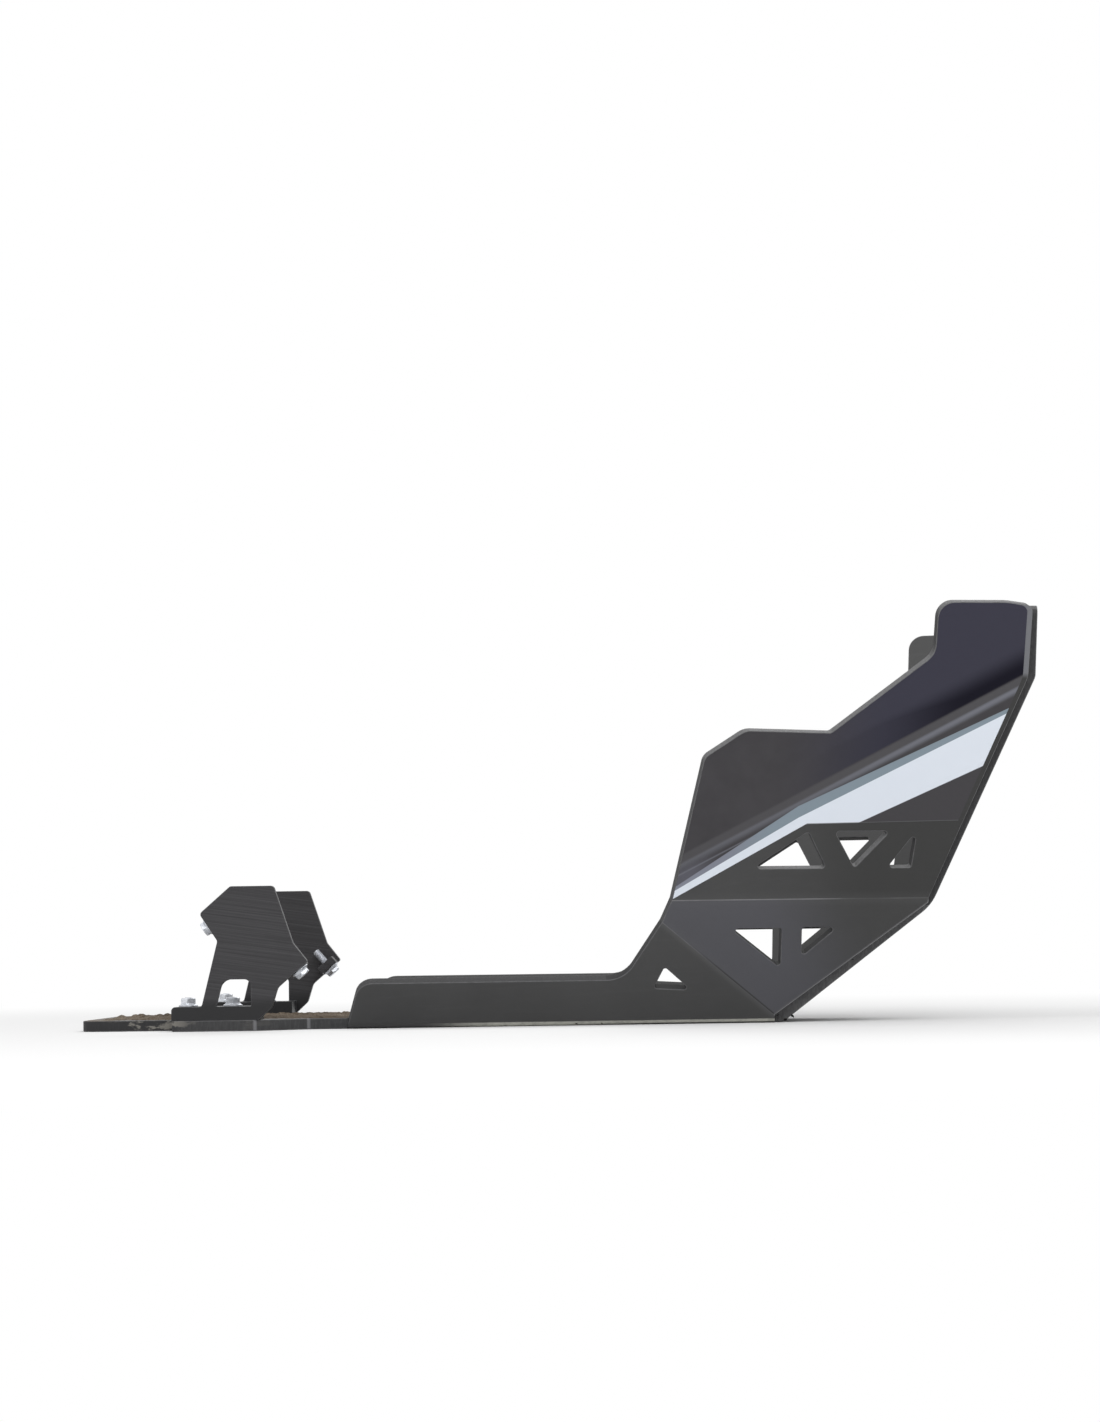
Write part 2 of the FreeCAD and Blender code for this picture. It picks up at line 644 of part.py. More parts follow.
def fastener_group(body, name, height):
    # Sets one fastener at the rear right place, then repeats it forward and to the left
    body.setExpression("Placement.Base.x", bolt_rear)
    body.setExpression("Placement.Base.y", f"-{bolt_half}")
    body.setExpression("Placement.Base.z", height)
    forward = doc.addObject("Part::Mirroring", name + "_forward")
    forward.Source = body
    forward.Normal = (1, 0, 0)
    forward.setExpression("Base.x", f"{bolt_rear} + dim.bolt_pitch / 2")
    pair = doc.addObject("Part::Compound", name + "_pair")
    pair.Links = [body, forward]
    group = doc.addObject("Part::Compound", name)
    group.Links = [pair, mirrored(pair, name + "_left")]
    group.Label = name
    doc.recompute()
    return group


# Countersunk screw, head down in the sheet, with a hexagon socket
stack = "(dim.sheet_thick + dim.foot_height + dim.nut_height + dim.bolt_past_nut)"
screw = new_body("bracket_screw")
screw_sketch = new_sketch(screw, "screw_section", "XZ_Plane")
bolt_radius = "dim.bolt_width / 2"
head_deep = "(dim.head_width - dim.bolt_width) / 2"
add_loop(screw_sketch, [
    ("0", "0"),
    ("dim.head_width / 2", "0"),
    (bolt_radius, head_deep),
    (bolt_radius, f"{stack} - dim.head_sunk"),
    ("0", f"{stack} - dim.head_sunk"),
])
revolve(screw, screw_sketch)
socket = new_sketch(screw, "screw_socket", "XY_Plane")
add_hexagon(socket, "dim.socket_across")
pocket(screw, socket, reverse=True, depth="dim.socket_deep")
screws = fastener_group(screw, "bracket_screws", "dim.head_sunk")


def chamfer_crown(body, name, height):
    # Takes the top edges off a hexagon
    feature = body.Tip
    top = number(height)
    corner = number("dim.nut_across / 2 / cos(30)")
    names = []
    for i, edge in enumerate(feature.Shape.Edges, 1):
        ends = [vertex.Point for vertex in edge.Vertexes]
        if len(ends) == 2 and all(abs(math.dist(end, (0, 0, top)) - corner) < 0.001 for end in ends):
            names.append(f"Edge{i}")
    chamfer = body.newObject("PartDesign::Chamfer", name)
    chamfer.Base = (feature, names)
    chamfer.setExpression("Size", "dim.nut_chamfer")
    doc.recompute()


# Flange nut: hexagon over a tapered flange, corners chamfered at the top
nut = new_body("bracket_nut")
flange = new_sketch(nut, "nut_flange", "XZ_Plane")
bore = "(dim.bolt_width + dim.thread_room) / 2"
add_loop(flange, [(bore, "0"), ("dim.flange_width / 2", "0"), ("dim.flange_width / 2", "dim.flange_rim"),
                  ("dim.nut_across / 2", "dim.flange_rise"), (bore, "dim.flange_rise")])
revolve(nut, flange)
hexagon = new_sketch(nut, "nut_hexagon", "XY_Plane")
add_hexagon(hexagon, "dim.nut_across")
add_circle(hexagon, ("0", "0"), f"2 * {bore}")
pad(nut, hexagon, "dim.nut_height")
chamfer_crown(nut, "nut_crown", "dim.nut_height")
nuts = fastener_group(nut, "bracket_nuts", "dim.sheet_thick + dim.foot_height")

# Flange bolts in the tabs, head outside and thread free behind the web
hanger_pair = []
for i, (start, end, along) in enumerate(hanger_seats):
    bolt = new_body(f"hanger_bolt_{i}")
    bolt_section = new_sketch(bolt, f"hanger_bolt_section_{i}", "XZ_Plane")
    thread_radius = "dim.hanger_thread_width / 2"
    add_loop(bolt_section, [
        ("0", "-dim.hanger_bolt_length"),
        (thread_radius, "-dim.hanger_bolt_length"),
        (thread_radius, "-dim.web_thick"),
        (bolt_radius, "-dim.web_thick"),
        (bolt_radius, "0"),
        ("dim.flange_width / 2", "0"),
        ("dim.flange_width / 2", "dim.flange_rim"),
        ("dim.nut_across / 2", "dim.flange_rise"),
        ("0", "dim.flange_rise"),
    ])
    revolve(bolt, bolt_section)
    bolt_head = new_sketch(bolt, f"hanger_bolt_head_{i}", "XY_Plane")
    add_hexagon(bolt_head, "dim.nut_across")
    pad(bolt, bolt_head, "dim.hanger_head_height")
    chamfer_crown(bolt, f"hanger_bolt_crown_{i}", "dim.hanger_head_height")
    x, z = along_edge(start, end, along)
    seat = f"vector({x} - dim.ear_back; dim.tab_bolt_inset - dim.ear_half; {z} + dim.sheet_thick)"
    bolt.setExpression("Placement", f"placement({seat}; rotation(0; {outward_turn(start, end)}; 0))")
    hanger_pair.append(bolt)
doc.recompute()
hanger_right = doc.addObject("Part::Compound", "hanger_bolts_right")
hanger_right.Links = hanger_pair
hanger_bolts = doc.addObject("Part::Compound", "hanger_bolts")
hanger_bolts.Links = [hanger_right, mirrored(hanger_right, "hanger_bolts_left")]
hanger_bolts.Label = "hanger_bolts"
doc.recompute()

# Printed film on the right wing: the wing's outline drawn in by a margin, with a slanted lower edge
film_outline = doc.addObject("Sketcher::SketchObject", "film_outline")
rear_lean = "(dim.waist_back - dim.heel_back) / dim.heel_up"
front_lean = "(dim.brow_front - dim.waist_front) / dim.brow_up"
film_rear = (f"dim.film_rear_up * {rear_lean} - dim.waist_back", "dim.film_rear_up")
film_front = (f"dim.waist_front + {front_lean} * dim.film_front_up - dim.film_front_gap", "dim.film_front_up")
film_knee = ("dim.film_knee_front", "dim.film_knee_up")
film_corners = []
for x, y in [corner for corner, radius in wing_rounds]:
    film_corners.append((f"{x} - dim.film_front_gap", y) if (x, y) in (crown, brow) else (x, y))
add_loop(film_outline, [film_rear, film_knee, film_front] + film_corners[::-1])
inset = doc.addObject("Part::Offset2D", "film_inset")
inset.Source = film_outline
inset.Join = "Intersection"
inset.setExpression("Value", "-dim.film_margin")
doc.recompute()
film_sheet = doc.addObject("Part::Extrusion", "film_sheet")
film_sheet.Base = inset
film_sheet.DirMode = "Normal"
film_sheet.Solid = True
film_sheet.setExpression("LengthFwd", "dim.film_thick")
doc.recompute()
film = new_body("graphic_film_right")
film.BaseFeature = film_sheet
doc.recompute()
for i, (corner, radius) in enumerate(wing_rounds):
    change = "+" if corner in (notch, throat) else "-"
    film_round = f"{radius} {change} dim.film_margin"
    film_reach = "2 * dim.film_margin + dim.film_front_gap"
    round_edges(film, f"film_round_{i}", PLAN, [corner], film_round, reach=film_reach)
wing_place = "; ".join(waist)
film.setExpression(
    "Placement", f"placement(vector({wing_place}); rotation(dim.side_yaw; 0; 90 + dim.wing_tilt))")
doc.recompute()

# Every object must be sound before its file is written
for item in doc.Objects:
    if "Invalid" in item.State or "Error" in item.State:
        raise RuntimeError(item.Name + " did not build")
for node in (plate, bracket, bracket_left, screws, nuts, hanger_bolts, film):
    if node.Shape.isNull() or not node.Shape.isValid():
        raise RuntimeError(node.Label + " has no sound shape")
    node.Shape.exportStep(f"parts/{node.Label}.step")
    box = node.Shape.BoundBox
    print(node.Label, len(node.Shape.Solids), round(node.Shape.Volume), [round(v, 1) for v in
          (box.XMin, box.XMax, box.YMin, box.YMax, box.ZMin, box.ZMax)])
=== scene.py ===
import math

import bmesh
import bpy
import numpy as np
from mathutils import Matrix, Vector


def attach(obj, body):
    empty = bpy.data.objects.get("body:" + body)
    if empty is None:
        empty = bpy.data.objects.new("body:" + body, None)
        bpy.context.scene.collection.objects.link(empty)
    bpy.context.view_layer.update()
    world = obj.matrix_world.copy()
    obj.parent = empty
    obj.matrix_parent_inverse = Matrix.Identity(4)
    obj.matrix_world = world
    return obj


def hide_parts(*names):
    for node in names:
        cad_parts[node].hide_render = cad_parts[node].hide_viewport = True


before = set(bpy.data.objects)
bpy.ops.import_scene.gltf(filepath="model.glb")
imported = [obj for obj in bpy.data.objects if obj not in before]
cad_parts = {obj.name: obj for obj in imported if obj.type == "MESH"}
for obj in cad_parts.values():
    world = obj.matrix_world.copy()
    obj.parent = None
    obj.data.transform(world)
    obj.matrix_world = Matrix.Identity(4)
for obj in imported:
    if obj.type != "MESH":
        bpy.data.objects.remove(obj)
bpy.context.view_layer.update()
print("frame loaded:", sorted(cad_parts))

mm = 0.001
scene = bpy.context.scene


# small tools for meshes

welding = {
    "cadGap": 2e-6, "gridGap": 1e-6, "sliver": 1e-7,
    "flat": math.radians(0.4),  # faces that bend by less are joined
    "hard": math.radians(24),  # edges that bend by more are rounded
    "stepReach": 1.0 * mm, "stepGap": 0.9 * mm,
    "roundSegments": 2,
    "broadFlat": 8e-4,  # square metres
}


def putMesh(name, points, faces):
    # points as an array of xyz in metres, faces as an (m, 4) array of indices
    mesh = bpy.data.meshes.new(name)
    mesh.from_pydata(points.reshape(-1, 3).tolist(), [], faces.tolist())
    mesh.update()
    mesh.shade_smooth()
    obj = bpy.data.objects.new(name, mesh)
    scene.collection.objects.link(obj)
    return obj


def gridFaces(rows, cols):
    # quads of a rows by cols grid of points whose last column joins the first
    r = np.arange(rows - 1)[:, None]
    c = np.arange(cols)[None, :]
    n = (c + 1) % cols
    a, b = r * cols + c, r * cols + n
    return np.stack([a, b, b + cols, a + cols], -1).reshape(-1, 4)


def mergedCopy(node, name, width, steps=(), keep=()):
    # the CAD node's triangles welded, flat ones joined, tiny steps closed at the named corners,
    # and every hard edge rounded a little, but for the short ones about the places in keep
    work = bmesh.new()
    work.from_mesh(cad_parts[node].data)
    bmesh.ops.remove_doubles(work, verts=work.verts, dist=welding["cadGap"])
    bmesh.ops.dissolve_limit(work, angle_limit=welding["flat"], verts=work.verts, edges=work.edges)
    for x, y, z in steps:
        for corner in (Vector((x, y, z)) * mm, Vector((x, -y, z)) * mm):
            close = [v for v in work.verts if (v.co - corner).length < welding["stepReach"]]
            bmesh.ops.remove_doubles(work, verts=close, dist=welding["stepGap"])
    weight = work.edges.layers.float.new("bevel_weight_edge")
    for edge in work.edges:
        ends = [Vector((v.co.x, -abs(v.co.y), v.co.z)) / mm for v in edge.verts]
        kept = any(max((end - Vector(place)).length for end in ends) < reach for place, reach in keep)
        edge[weight] = float(edge.calc_face_angle(0.0) > welding["hard"] and not kept)
    mesh = bpy.data.meshes.new(name)
    work.to_mesh(mesh)
    work.free()
    mesh.shade_smooth()
    obj = bpy.data.objects.new(name, mesh)
    scene.collection.objects.link(obj)
    bevel = obj.modifiers.new("edges", "BEVEL")
    bevel.width = width
    bevel.segments = welding["roundSegments"]
    bevel.limit_method = "WEIGHT"
    bevel.use_clamp_overlap = False
    bevel.material = 1  # the rounded edges take the second slot
    flat = obj.modifiers.new("flats", "WEIGHTED_NORMAL")
    flat.keep_sharp = True
    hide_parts(node)
    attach(obj, "root")
    return obj


def sealed(obj, sharp=180):
    # seams and poles welded, open rings capped, faces turned outward, edges over so many degrees left crisp
    work = bmesh.new()
    work.from_mesh(obj.data)
    bmesh.ops.remove_doubles(work, verts=work.verts, dist=welding["gridGap"])
    bmesh.ops.dissolve_degenerate(work, edges=work.edges, dist=welding["sliver"])
    bmesh.ops.holes_fill(work, edges=work.edges, sides=0)
    bmesh.ops.recalc_face_normals(work, faces=work.faces)
    for edge in work.edges:
        edge.smooth = edge.calc_face_angle(0.0) < math.radians(sharp)
    work.to_mesh(obj.data)
    work.free()


def sharpenFolds(mesh, low, high):
    # shallow folds between two broad flats stay crisp: edges whose faces meet between low and high degrees
    work = bmesh.new()
    work.from_mesh(mesh)
    for edge in work.edges:
        broad = all(face.calc_area() > welding["broadFlat"] for face in edge.link_faces)
        if broad and math.radians(low) < edge.calc_face_angle(0.0) < math.radians(high):
            edge.smooth = False
    work.to_mesh(mesh)
    work.free()


# small tools for materials
# in the dictionaries a grain is a noise's scale, detail and roughness, with three scales to stretch it;
# a span is the start and end of a smooth step, then its values there where they aren't 0 and 1


def startMaterial(name):
    material = bpy.data.materials.new(name)
    material.use_nodes = True
    tree = material.node_tree
    return material, tree, tree.nodes["Principled BSDF"]


def plug(tree, value, socket):
    if isinstance(value, bpy.types.NodeSocket):
        tree.links.new(value, socket)
    else:
        socket.default_value = value


def add(tree, kind, *values, out=0, **settings):
    node = tree.nodes.new("ShaderNode" + kind)
    for key, value in settings.items():
        setattr(node, key, value)
    for socket, value in zip(node.inputs, values):
        if value is not None:
            plug(tree, value, socket)
    return node.outputs[out]


def calc(tree, operation, *values, clamp=False):
    return add(tree, "Math", *values, operation=operation, use_clamp=clamp)


def times(tree, product, *others):
    for other in others:
        product = calc(tree, "MULTIPLY", product, other)
    return product


def remap(tree, value, low, high, toLow=0.0, toHigh=1.0):
    return add(tree, "MapRange", value, low, high, toLow, toHigh, interpolation_type="SMOOTHSTEP")


def stretch(tree, place, scale, turn=(0, 0, 0)):
    return add(tree, "Mapping", place, None, turn, scale)


def noise(tree, place, scale, detail=3.0, rough=0.55):
    if isinstance(scale, tuple):
        place, scale = stretch(tree, place, scale), 1.0
    return add(tree, "TexNoise", place, None, scale, detail, rough)


def objectPlace(tree):
    return add(tree, "TexCoord", out=3)


def faceValue(tree, name):
    return add(tree, "Attribute", out=2, attribute_name=name)


def split(tree, place):
    parts = tree.nodes.new("ShaderNodeSeparateXYZ")
    tree.links.new(place, parts.inputs[0])
    return parts.outputs


def mix(tree, factor, first, second):
    node = tree.nodes.new("ShaderNodeMix")
    node.data_type = "RGBA"
    for index, value in ((0, factor), (6, first), (7, second)):
        if not isinstance(value, bpy.types.NodeSocket) and index:
            value = (*value, 1.0)
        plug(tree, value, node.inputs[index])
    return node.outputs[2]


def bumped(tree, shader, height, depth, strength):
    bump = tree.nodes.new("ShaderNodeBump")
    plug(tree, strength, bump.inputs["Strength"])
    plug(tree, depth, bump.inputs["Distance"])
    tree.links.new(height, bump.inputs["Height"])
    tree.links.new(bump.outputs[0], shader.inputs["Normal"])


def lineGap(tree, place, point, direction):
    # distance from a straight line in space: length of (place - point) x unit direction
    unit = Vector(direction).normalized()
    offset = add(tree, "VectorMath", place, tuple(point), operation="SUBTRACT")
    across = add(tree, "VectorMath", offset, tuple(unit), operation="CROSS_PRODUCT")
    return add(tree, "VectorMath", across, operation="LENGTH", out=1)


def setMaterial(obj, *materials):
    obj.data.materials.clear()
    for material in materials:
        obj.data.materials.append(material)


# camera at the photograph's place

cameraSetup = {
    "place": (0.0905353, -2.7, 0.0583631),
    "right": (0.99922211, 0.03689308, -0.01393084),
    "up": (0.01636093, -0.06640755, 0.99765844),
    "forward": (-0.03588158, 0.99711029, 0.06695949),
    "focalPixels": 3513.51,
    "imageHigh": 1422,
    "sensor": 36.0,
    "clipEnd": 200.0,
}
cameraData = bpy.data.cameras.new("photoCamera")
cameraData.sensor_fit = "VERTICAL"
cameraData.sensor_height = cameraSetup["sensor"]
cameraData.sensor_width = cameraSetup["sensor"]
cameraData.lens = cameraSetup["focalPixels"] / cameraSetup["imageHigh"] * cameraSetup["sensor"]
cameraData.clip_end = cameraSetup["clipEnd"]
camera = bpy.data.objects.new("photoCamera", cameraData)
axes = Matrix((cameraSetup["right"], cameraSetup["up"], -Vector(cameraSetup["forward"]))).transposed()
camera.matrix_world = Matrix.Translation(cameraSetup["place"]) @ axes.to_4x4()
scene.collection.objects.link(camera)
scene.camera = camera
print("camera set")


# light, floor and background

studio = {
    "worldLight": 0.55,
    # name, place, aim, size and watts of each lamp
    "lamps": (
        ("keyLamp", (0.9, -2.4, 2.2), (0.05, 0.0, 0.1), (2.0, 1.6), 46.0),
        ("fillLamp", (-2.2, -1.6, 1.4), (-0.1, 0.0, 0.1), (1.6, 1.6), 16.0),
        ("backLamp", (0.4, 2.4, 2.0), (0.0, 0.0, 0.1), (2.0, 1.4), 22.0),
    ),
    "floorRadius": 40.0, "floorDrop": -0.1 * mm,
    "floorRings": 24, "floorTurns": 96, "ringPower": 2.2,
    "floorColour": (0.93, 0.93, 0.93), "floorRough": 0.9,
    "fade": (0.5, 1.4),
}


def seenRays(tree):
    # 1 for rays from the camera, from gloss and through glass
    path = tree.nodes.new("ShaderNodeLightPath")
    seen = calc(tree, "ADD", path.outputs["Is Camera Ray"], path.outputs["Is Glossy Ray"], clamp=True)
    return calc(tree, "ADD", seen, path.outputs["Is Transmission Ray"], clamp=True)


scene.view_settings.view_transform = "Standard"
world = bpy.data.worlds.new("softRoom")
scene.world = world
world.use_nodes = True
tree = world.node_tree
background = tree.nodes["Background"]
background.inputs["Color"].default_value = (1.0, 1.0, 1.0, 1.0)
level = add(tree, "MapRange", seenRays(tree), 0.0, 1.0, studio["worldLight"], 1.0)
tree.links.new(level, background.inputs["Strength"])


def softLamp(name, place, aim, size, power):
    data = bpy.data.lights.new(name, "AREA")
    data.shape = "RECTANGLE"
    data.size, data.size_y = size
    data.energy = power
    lamp = bpy.data.objects.new(name, data)
    lamp.location = place
    lamp.rotation_euler = (Vector(aim) - Vector(place)).to_track_quat("-Z", "Y").to_euler()
    scene.collection.objects.link(lamp)


for lampRow in studio["lamps"]:
    softLamp(*lampRow)

# a disc: rings of points out to the floor's radius, radius as a power of the ring number
rings, turns = studio["floorRings"], studio["floorTurns"]
ring = np.linspace(0.0, 1.0, rings)[:, None] ** studio["ringPower"] * studio["floorRadius"]
turn = np.linspace(0.0, 2 * np.pi, turns, endpoint=False)[None, :]
floorPoints = np.stack([ring * np.cos(turn), ring * np.sin(turn), studio["floorDrop"] + 0 * ring * turn], -1)
floor = putMesh("floor", floorPoints, gridFaces(rings, turns))
floorWeld = bmesh.new()
floorWeld.from_mesh(floor.data)
bmesh.ops.remove_doubles(floorWeld, verts=floorWeld.verts, dist=welding["gridGap"])
bmesh.ops.recalc_face_normals(floorWeld, faces=floorWeld.faces)
floorWeld.to_mesh(floor.data)
floorWeld.free()
floorMaterial, tree, shader = startMaterial("paleFloor")
shader.inputs["Base Color"].default_value = (*studio["floorColour"], 1.0)
shader.inputs["Roughness"].default_value = studio["floorRough"]
shader.inputs["Specular IOR Level"].default_value = 0.0
# far from the object the floor fades into plain white, for rays that see it directly
glow = tree.nodes.new("ShaderNodeEmission")
distance = add(tree, "VectorMath", objectPlace(tree), operation="LENGTH", out=1)
fade = times(tree, remap(tree, distance, *studio["fade"]), seenRays(tree))
blend = tree.nodes.new("ShaderNodeMixShader")
tree.links.new(fade, blend.inputs[0])
tree.links.new(shader.outputs[0], blend.inputs[1])
tree.links.new(glow.outputs[0], blend.inputs[2])
tree.links.new(blend.outputs[0], tree.nodes["Material Output"].inputs["Surface"])
setMaterial(floor, floorMaterial)
print("studio ready")


# the folded sheet

sheet = {
    "edge": 0.6 * mm,
    "satinShine": 0.5, "rubbedShine": 0.35, "sawnShine": 0.2,
    # each right-hand panel's turn about the upright axis, and its lean outward
    "stripYaw": math.radians(3.95), "stripTilt": math.radians(30.0),
    "sideYaw": math.radians(12.0), "lowerTilt": math.radians(21.8), "wingTilt": math.radians(18.0),
    # corners in mm where tiny steps are closed, and where short edges stay unrounded within a reach
    "foldEnds": ((76.45, -117.3, 78.0), (83.53, -122.2, 93.7), (273.2, -81.75, 93.35)),
    "bendEnds": (((-156.6, -96.4, 3.0), 8.0), ((159.8, -75.1, 3.0), 6.0)),
    "crispAngles": (2.0, 24.0),
    # points on the fold lines and on two corners with painted highlights, in metres, and the runs of the
    # lines
    "nose": (0.1664, -0.0751, 0.0), "foldRun": (-1.1826, -0.6603, 1.0),
    "prow": (0.15989, -0.07873, 0.0055), "prowRun": (114.88, -8.91, 81.49),
    "waist": (0.17395, -0.11062, 0.0908),
    "earCorner": (-0.2215, -0.1270, 0.0), "neckCorner": (-0.185, -0.098, 0.0),
    # plain plastic: clouds, milled streaks and specks
    "dark": (0.033, 0.033, 0.0335), "pale": (0.044, 0.044, 0.0445),
    "cloudGrain": (7.0, 4.0, 0.6), "cloudSpan": (0.3, 0.7),
    "streakGrain": ((4.0, 260.0, 260.0), 3.0, 0.6), "streakSpan": (0.52, 0.75, 0.0, 0.25),
    "streakPale": (0.055, 0.055, 0.056),
    "speckGrain": (900.0, 2.0, 0.6), "speckSpan": (0.56, 0.8, 0.0, 0.2),
    "speckPale": (0.07, 0.07, 0.071),
    # painted cool sheen on the lower panel, a reflection of the floor, and painted shade to the front
    "paintedLowerSheen": (0.064, 0.064, 0.0745), "sheenSlope": 0.6, "sheenSpan": (0.194, 0.283, 1.0, 0.0),
    "paintedFrontShade": (0.016, 0.016, 0.0155), "frontSpan": (0.150, 0.235, 0.1, 0.85), "lowerShare": 0.5,
    # stretched plastic along the folds, painted highlights beside them and painted shade in the lower crease
    "raggedGrain": (160.0, 3.0, 0.7),
    "patchGrain": (26.0, 2.0), "patchSpan": (0.35, 0.6, 0.35, 1.0),
    "foldFade": (0.185, 0.235, 1.0, 0.3), "foldWidth": (0.5 * mm, 0.4 * mm),
    "foldStrength": 0.5, "waistStrength": 0.9, "foldWhite": (0.23, 0.23, 0.238),
    "foldHighlightSpan": (0.5 * mm, 7.0 * mm, 0.14, 0.0), "foldHighlight": (0.085, 0.085, 0.088),
    "bandSpan": (0.4 * mm, 4.5 * mm, 0.5, 0.0), "stripFoldHighlight": (0.075, 0.075, 0.077),
    "creaseSpan": (0.5 * mm, 1.6 * mm, 0.85, 0.0), "creaseFrom": (0.09, 0.13),
    "creaseShade": (0.014, 0.014, 0.015),
    # painted highlight along the lower panel's front edge, bare margin of the tab
    "prowSpan": (0.6 * mm, 2.0 * mm, 0.75, 0.0), "prowHighlight": (0.115, 0.115, 0.12),
    "tabFrom": (0.330, 0.332), "tabAbove": (0.249, 0.254), "tabMargin": (0.14, 0.143, 0.157),
    # dust on the lower bend, and a painted reflection of the floor there
    "dustAndFloorReflection": (0.43, 0.43, 0.385),
    "dustGap": (2.8 * mm, 4.0 * mm, 1.0, 0.0), "dustRagged": (0.25, 0.6, 0.6, 1.0),
    "dustFrom": (-0.105, -0.045), "dustAbove": (0.5 * mm, 1.5 * mm), "dustBehind": (0.0, 0.08, 1.0, 0.0),
    # sawn faces
    "cutDark": (0.016, 0.016, 0.017), "cutPale": (0.21, 0.21, 0.214),
    "chatterGrain": ((700.0, 700.0, 120.0), 3.0, 0.65), "chatterSpan": (0.35, 0.7, 0.75, 1.15),
    # dirt on the tail
    "mudStain": (0.115, 0.088, 0.064), "tailFrom": (-0.12, -0.17),
    "blotchGrain": (38.0, 4.0, 0.65), "blotchSpan": (0.40, 0.60),
    "topFrom": (7.4 * mm, 7.9 * mm), "topTo": (14 * mm, 9 * mm), "stainEdge": (-0.0975, -0.0955),
    "smear": (0.20, 0.19, 0.17),
    "splashGrain": ((45.0, 45.0, 130.0), 4.0, 0.7), "splashSpan": (0.53, 0.61),
    "smearFrom": (-0.262, -0.285, 0.10, 0.9), "smearTo": (-0.338, -0.318), "lowOnly": (12 * mm, 9 * mm),
    # painted highlights down two corners and along the front edge, and rubbed edges that are partly painted
    # highlight
    "cornerSpan": (0.7 * mm, 1.9 * mm, 0.75, 0.0), "cornerHighlight": (0.19, 0.19, 0.20),
    "rubSpan": (0.3, 0.7, 0.45, 0.95), "rubHigh": (0.10, 0.20, 0.6, 1.0), "rubAndHighlightPale": (0.15, 0.15, 0.155),
    "prowEdge": (1.5 * mm, 3.0 * mm, 0.9, 0.0), "prowEdgeHighlight": (0.22, 0.22, 0.228),
    # roughness by specks, more where sawn or stained, and bump
    "speckRough": (0.16, 0.40), "sawnRough": 0.15, "stainRough": 0.3,
    "streakBump": 0.6, "chatterBump": 2.5, "bump": (0.06 * mm, 0.6),
}
faceRules = {
    "alike": 0.99, "same": 0.9992,  # cosines to a panel's normal
    "bottomBelow": 12 * mm,
    "bendDown": -0.45, "bendBelow": 6 * mm,
    "frontLevel": 0.02, "frontFrom": 0.14,
    "topUp": 0.9, "topAbove": 0.25,
    "sideways": 0.9, "sideFrom": 0.16,
    # painted light and shade on the sawn faces, 0 dark to 1 pale, and how it follows length, height and
    # facing
    "sawnLeast": 0.07,
    "stripTone": 0.13, "stripX": ((-0.30, -0.24, -0.07, 0.03), (0.0, 1.0, 1.0, 0.0)),
    "wingTone": 0.56, "wingZ": ((70 * mm, 110 * mm), (0.0, 1.0)), "wingUp": 1.6,
    "frontZ": ((70 * mm, 100 * mm), (0.5, 0.2)),
}


def outward(yaw, tilt):
    # outward normal of a right-hand panel turned by yaw and leaning out by tilt
    return np.array([math.sin(yaw) * math.cos(tilt), -math.cos(yaw) * math.cos(tilt), -math.sin(tilt)])


def along(yaw):
    return (math.cos(yaw), math.sin(yaw), 0.0)


plate = mergedCopy("skid_plate", "foldedPlate", sheet["edge"], sheet["foldEnds"], sheet["bendEnds"])
sharpenFolds(plate.data, *sheet["crispAngles"])
count = len(plate.data.polygons)
normals = np.empty(count * 3, np.float32)
centres = np.empty(count * 3, np.float32)
plate.data.polygons.foreach_get("normal", normals)
plate.data.polygons.foreach_get("center", centres)
normals = normals.reshape(-1, 3)
midX, midY, midZ = centres.reshape(-1, 3).T
normals[:, 1] *= np.where(midY > 0, -1.0, 1.0)  # left side folded over to the right
normalY, normalZ = normals[:, 1], normals[:, 2]
# faces of the side panels, the bottom, its bends and the front; all others are sawn
onPanel = np.zeros(count, bool)
for yaw, tilt in (("stripYaw", "stripTilt"), ("sideYaw", "lowerTilt"), ("sideYaw", "wingTilt")):
    onPanel |= np.abs(normals @ outward(sheet[yaw], sheet[tilt])) > faceRules["alike"]
onPanel |= (np.abs(normalZ) > faceRules["alike"]) & (midZ < faceRules["bottomBelow"])
onPanel |= (normalZ < faceRules["bendDown"]) & (midZ < faceRules["bendBelow"])
frontTop = (normalZ > faceRules["topUp"]) & (midZ > faceRules["topAbove"])
frontFace = (np.abs(normalY) < faceRules["frontLevel"]) & (midX > faceRules["frontFrom"])
onPanel |= frontFace & ~frontTop
# painted light and shade on the sawn faces: palest where they look up from a wing, mid grey low on the
# front's sides, and dark elsewhere
sawnLight = faceRules["sawnLeast"] + faceRules["stripTone"] * np.interp(midX, *faceRules["stripX"])
upward = np.clip(faceRules["wingUp"] * normalZ, 0, 1)
sawnLight = sawnLight + faceRules["wingTone"] * np.interp(midZ, *faceRules["wingZ"]) * upward
frontSide = (midX > faceRules["sideFrom"]) & (np.abs(normalY) > faceRules["sideways"])
sawnLight = np.where(frontSide, np.interp(midZ, *faceRules["frontZ"]), sawnLight)
faceValues = {
    "cutFace": ~onPanel,
    "sawnPaintedLight": sawnLight,
    "lowerFace": normals @ outward(sheet["sideYaw"], sheet["lowerTilt"]) > faceRules["same"],
    "wingFace": normals @ outward(sheet["sideYaw"], sheet["wingTilt"]) > faceRules["same"],
}
for name, values in faceValues.items():
    layer = plate.data.attributes.new(name, "FLOAT", "FACE")
    layer.data.foreach_set("value", values.astype(np.float32))


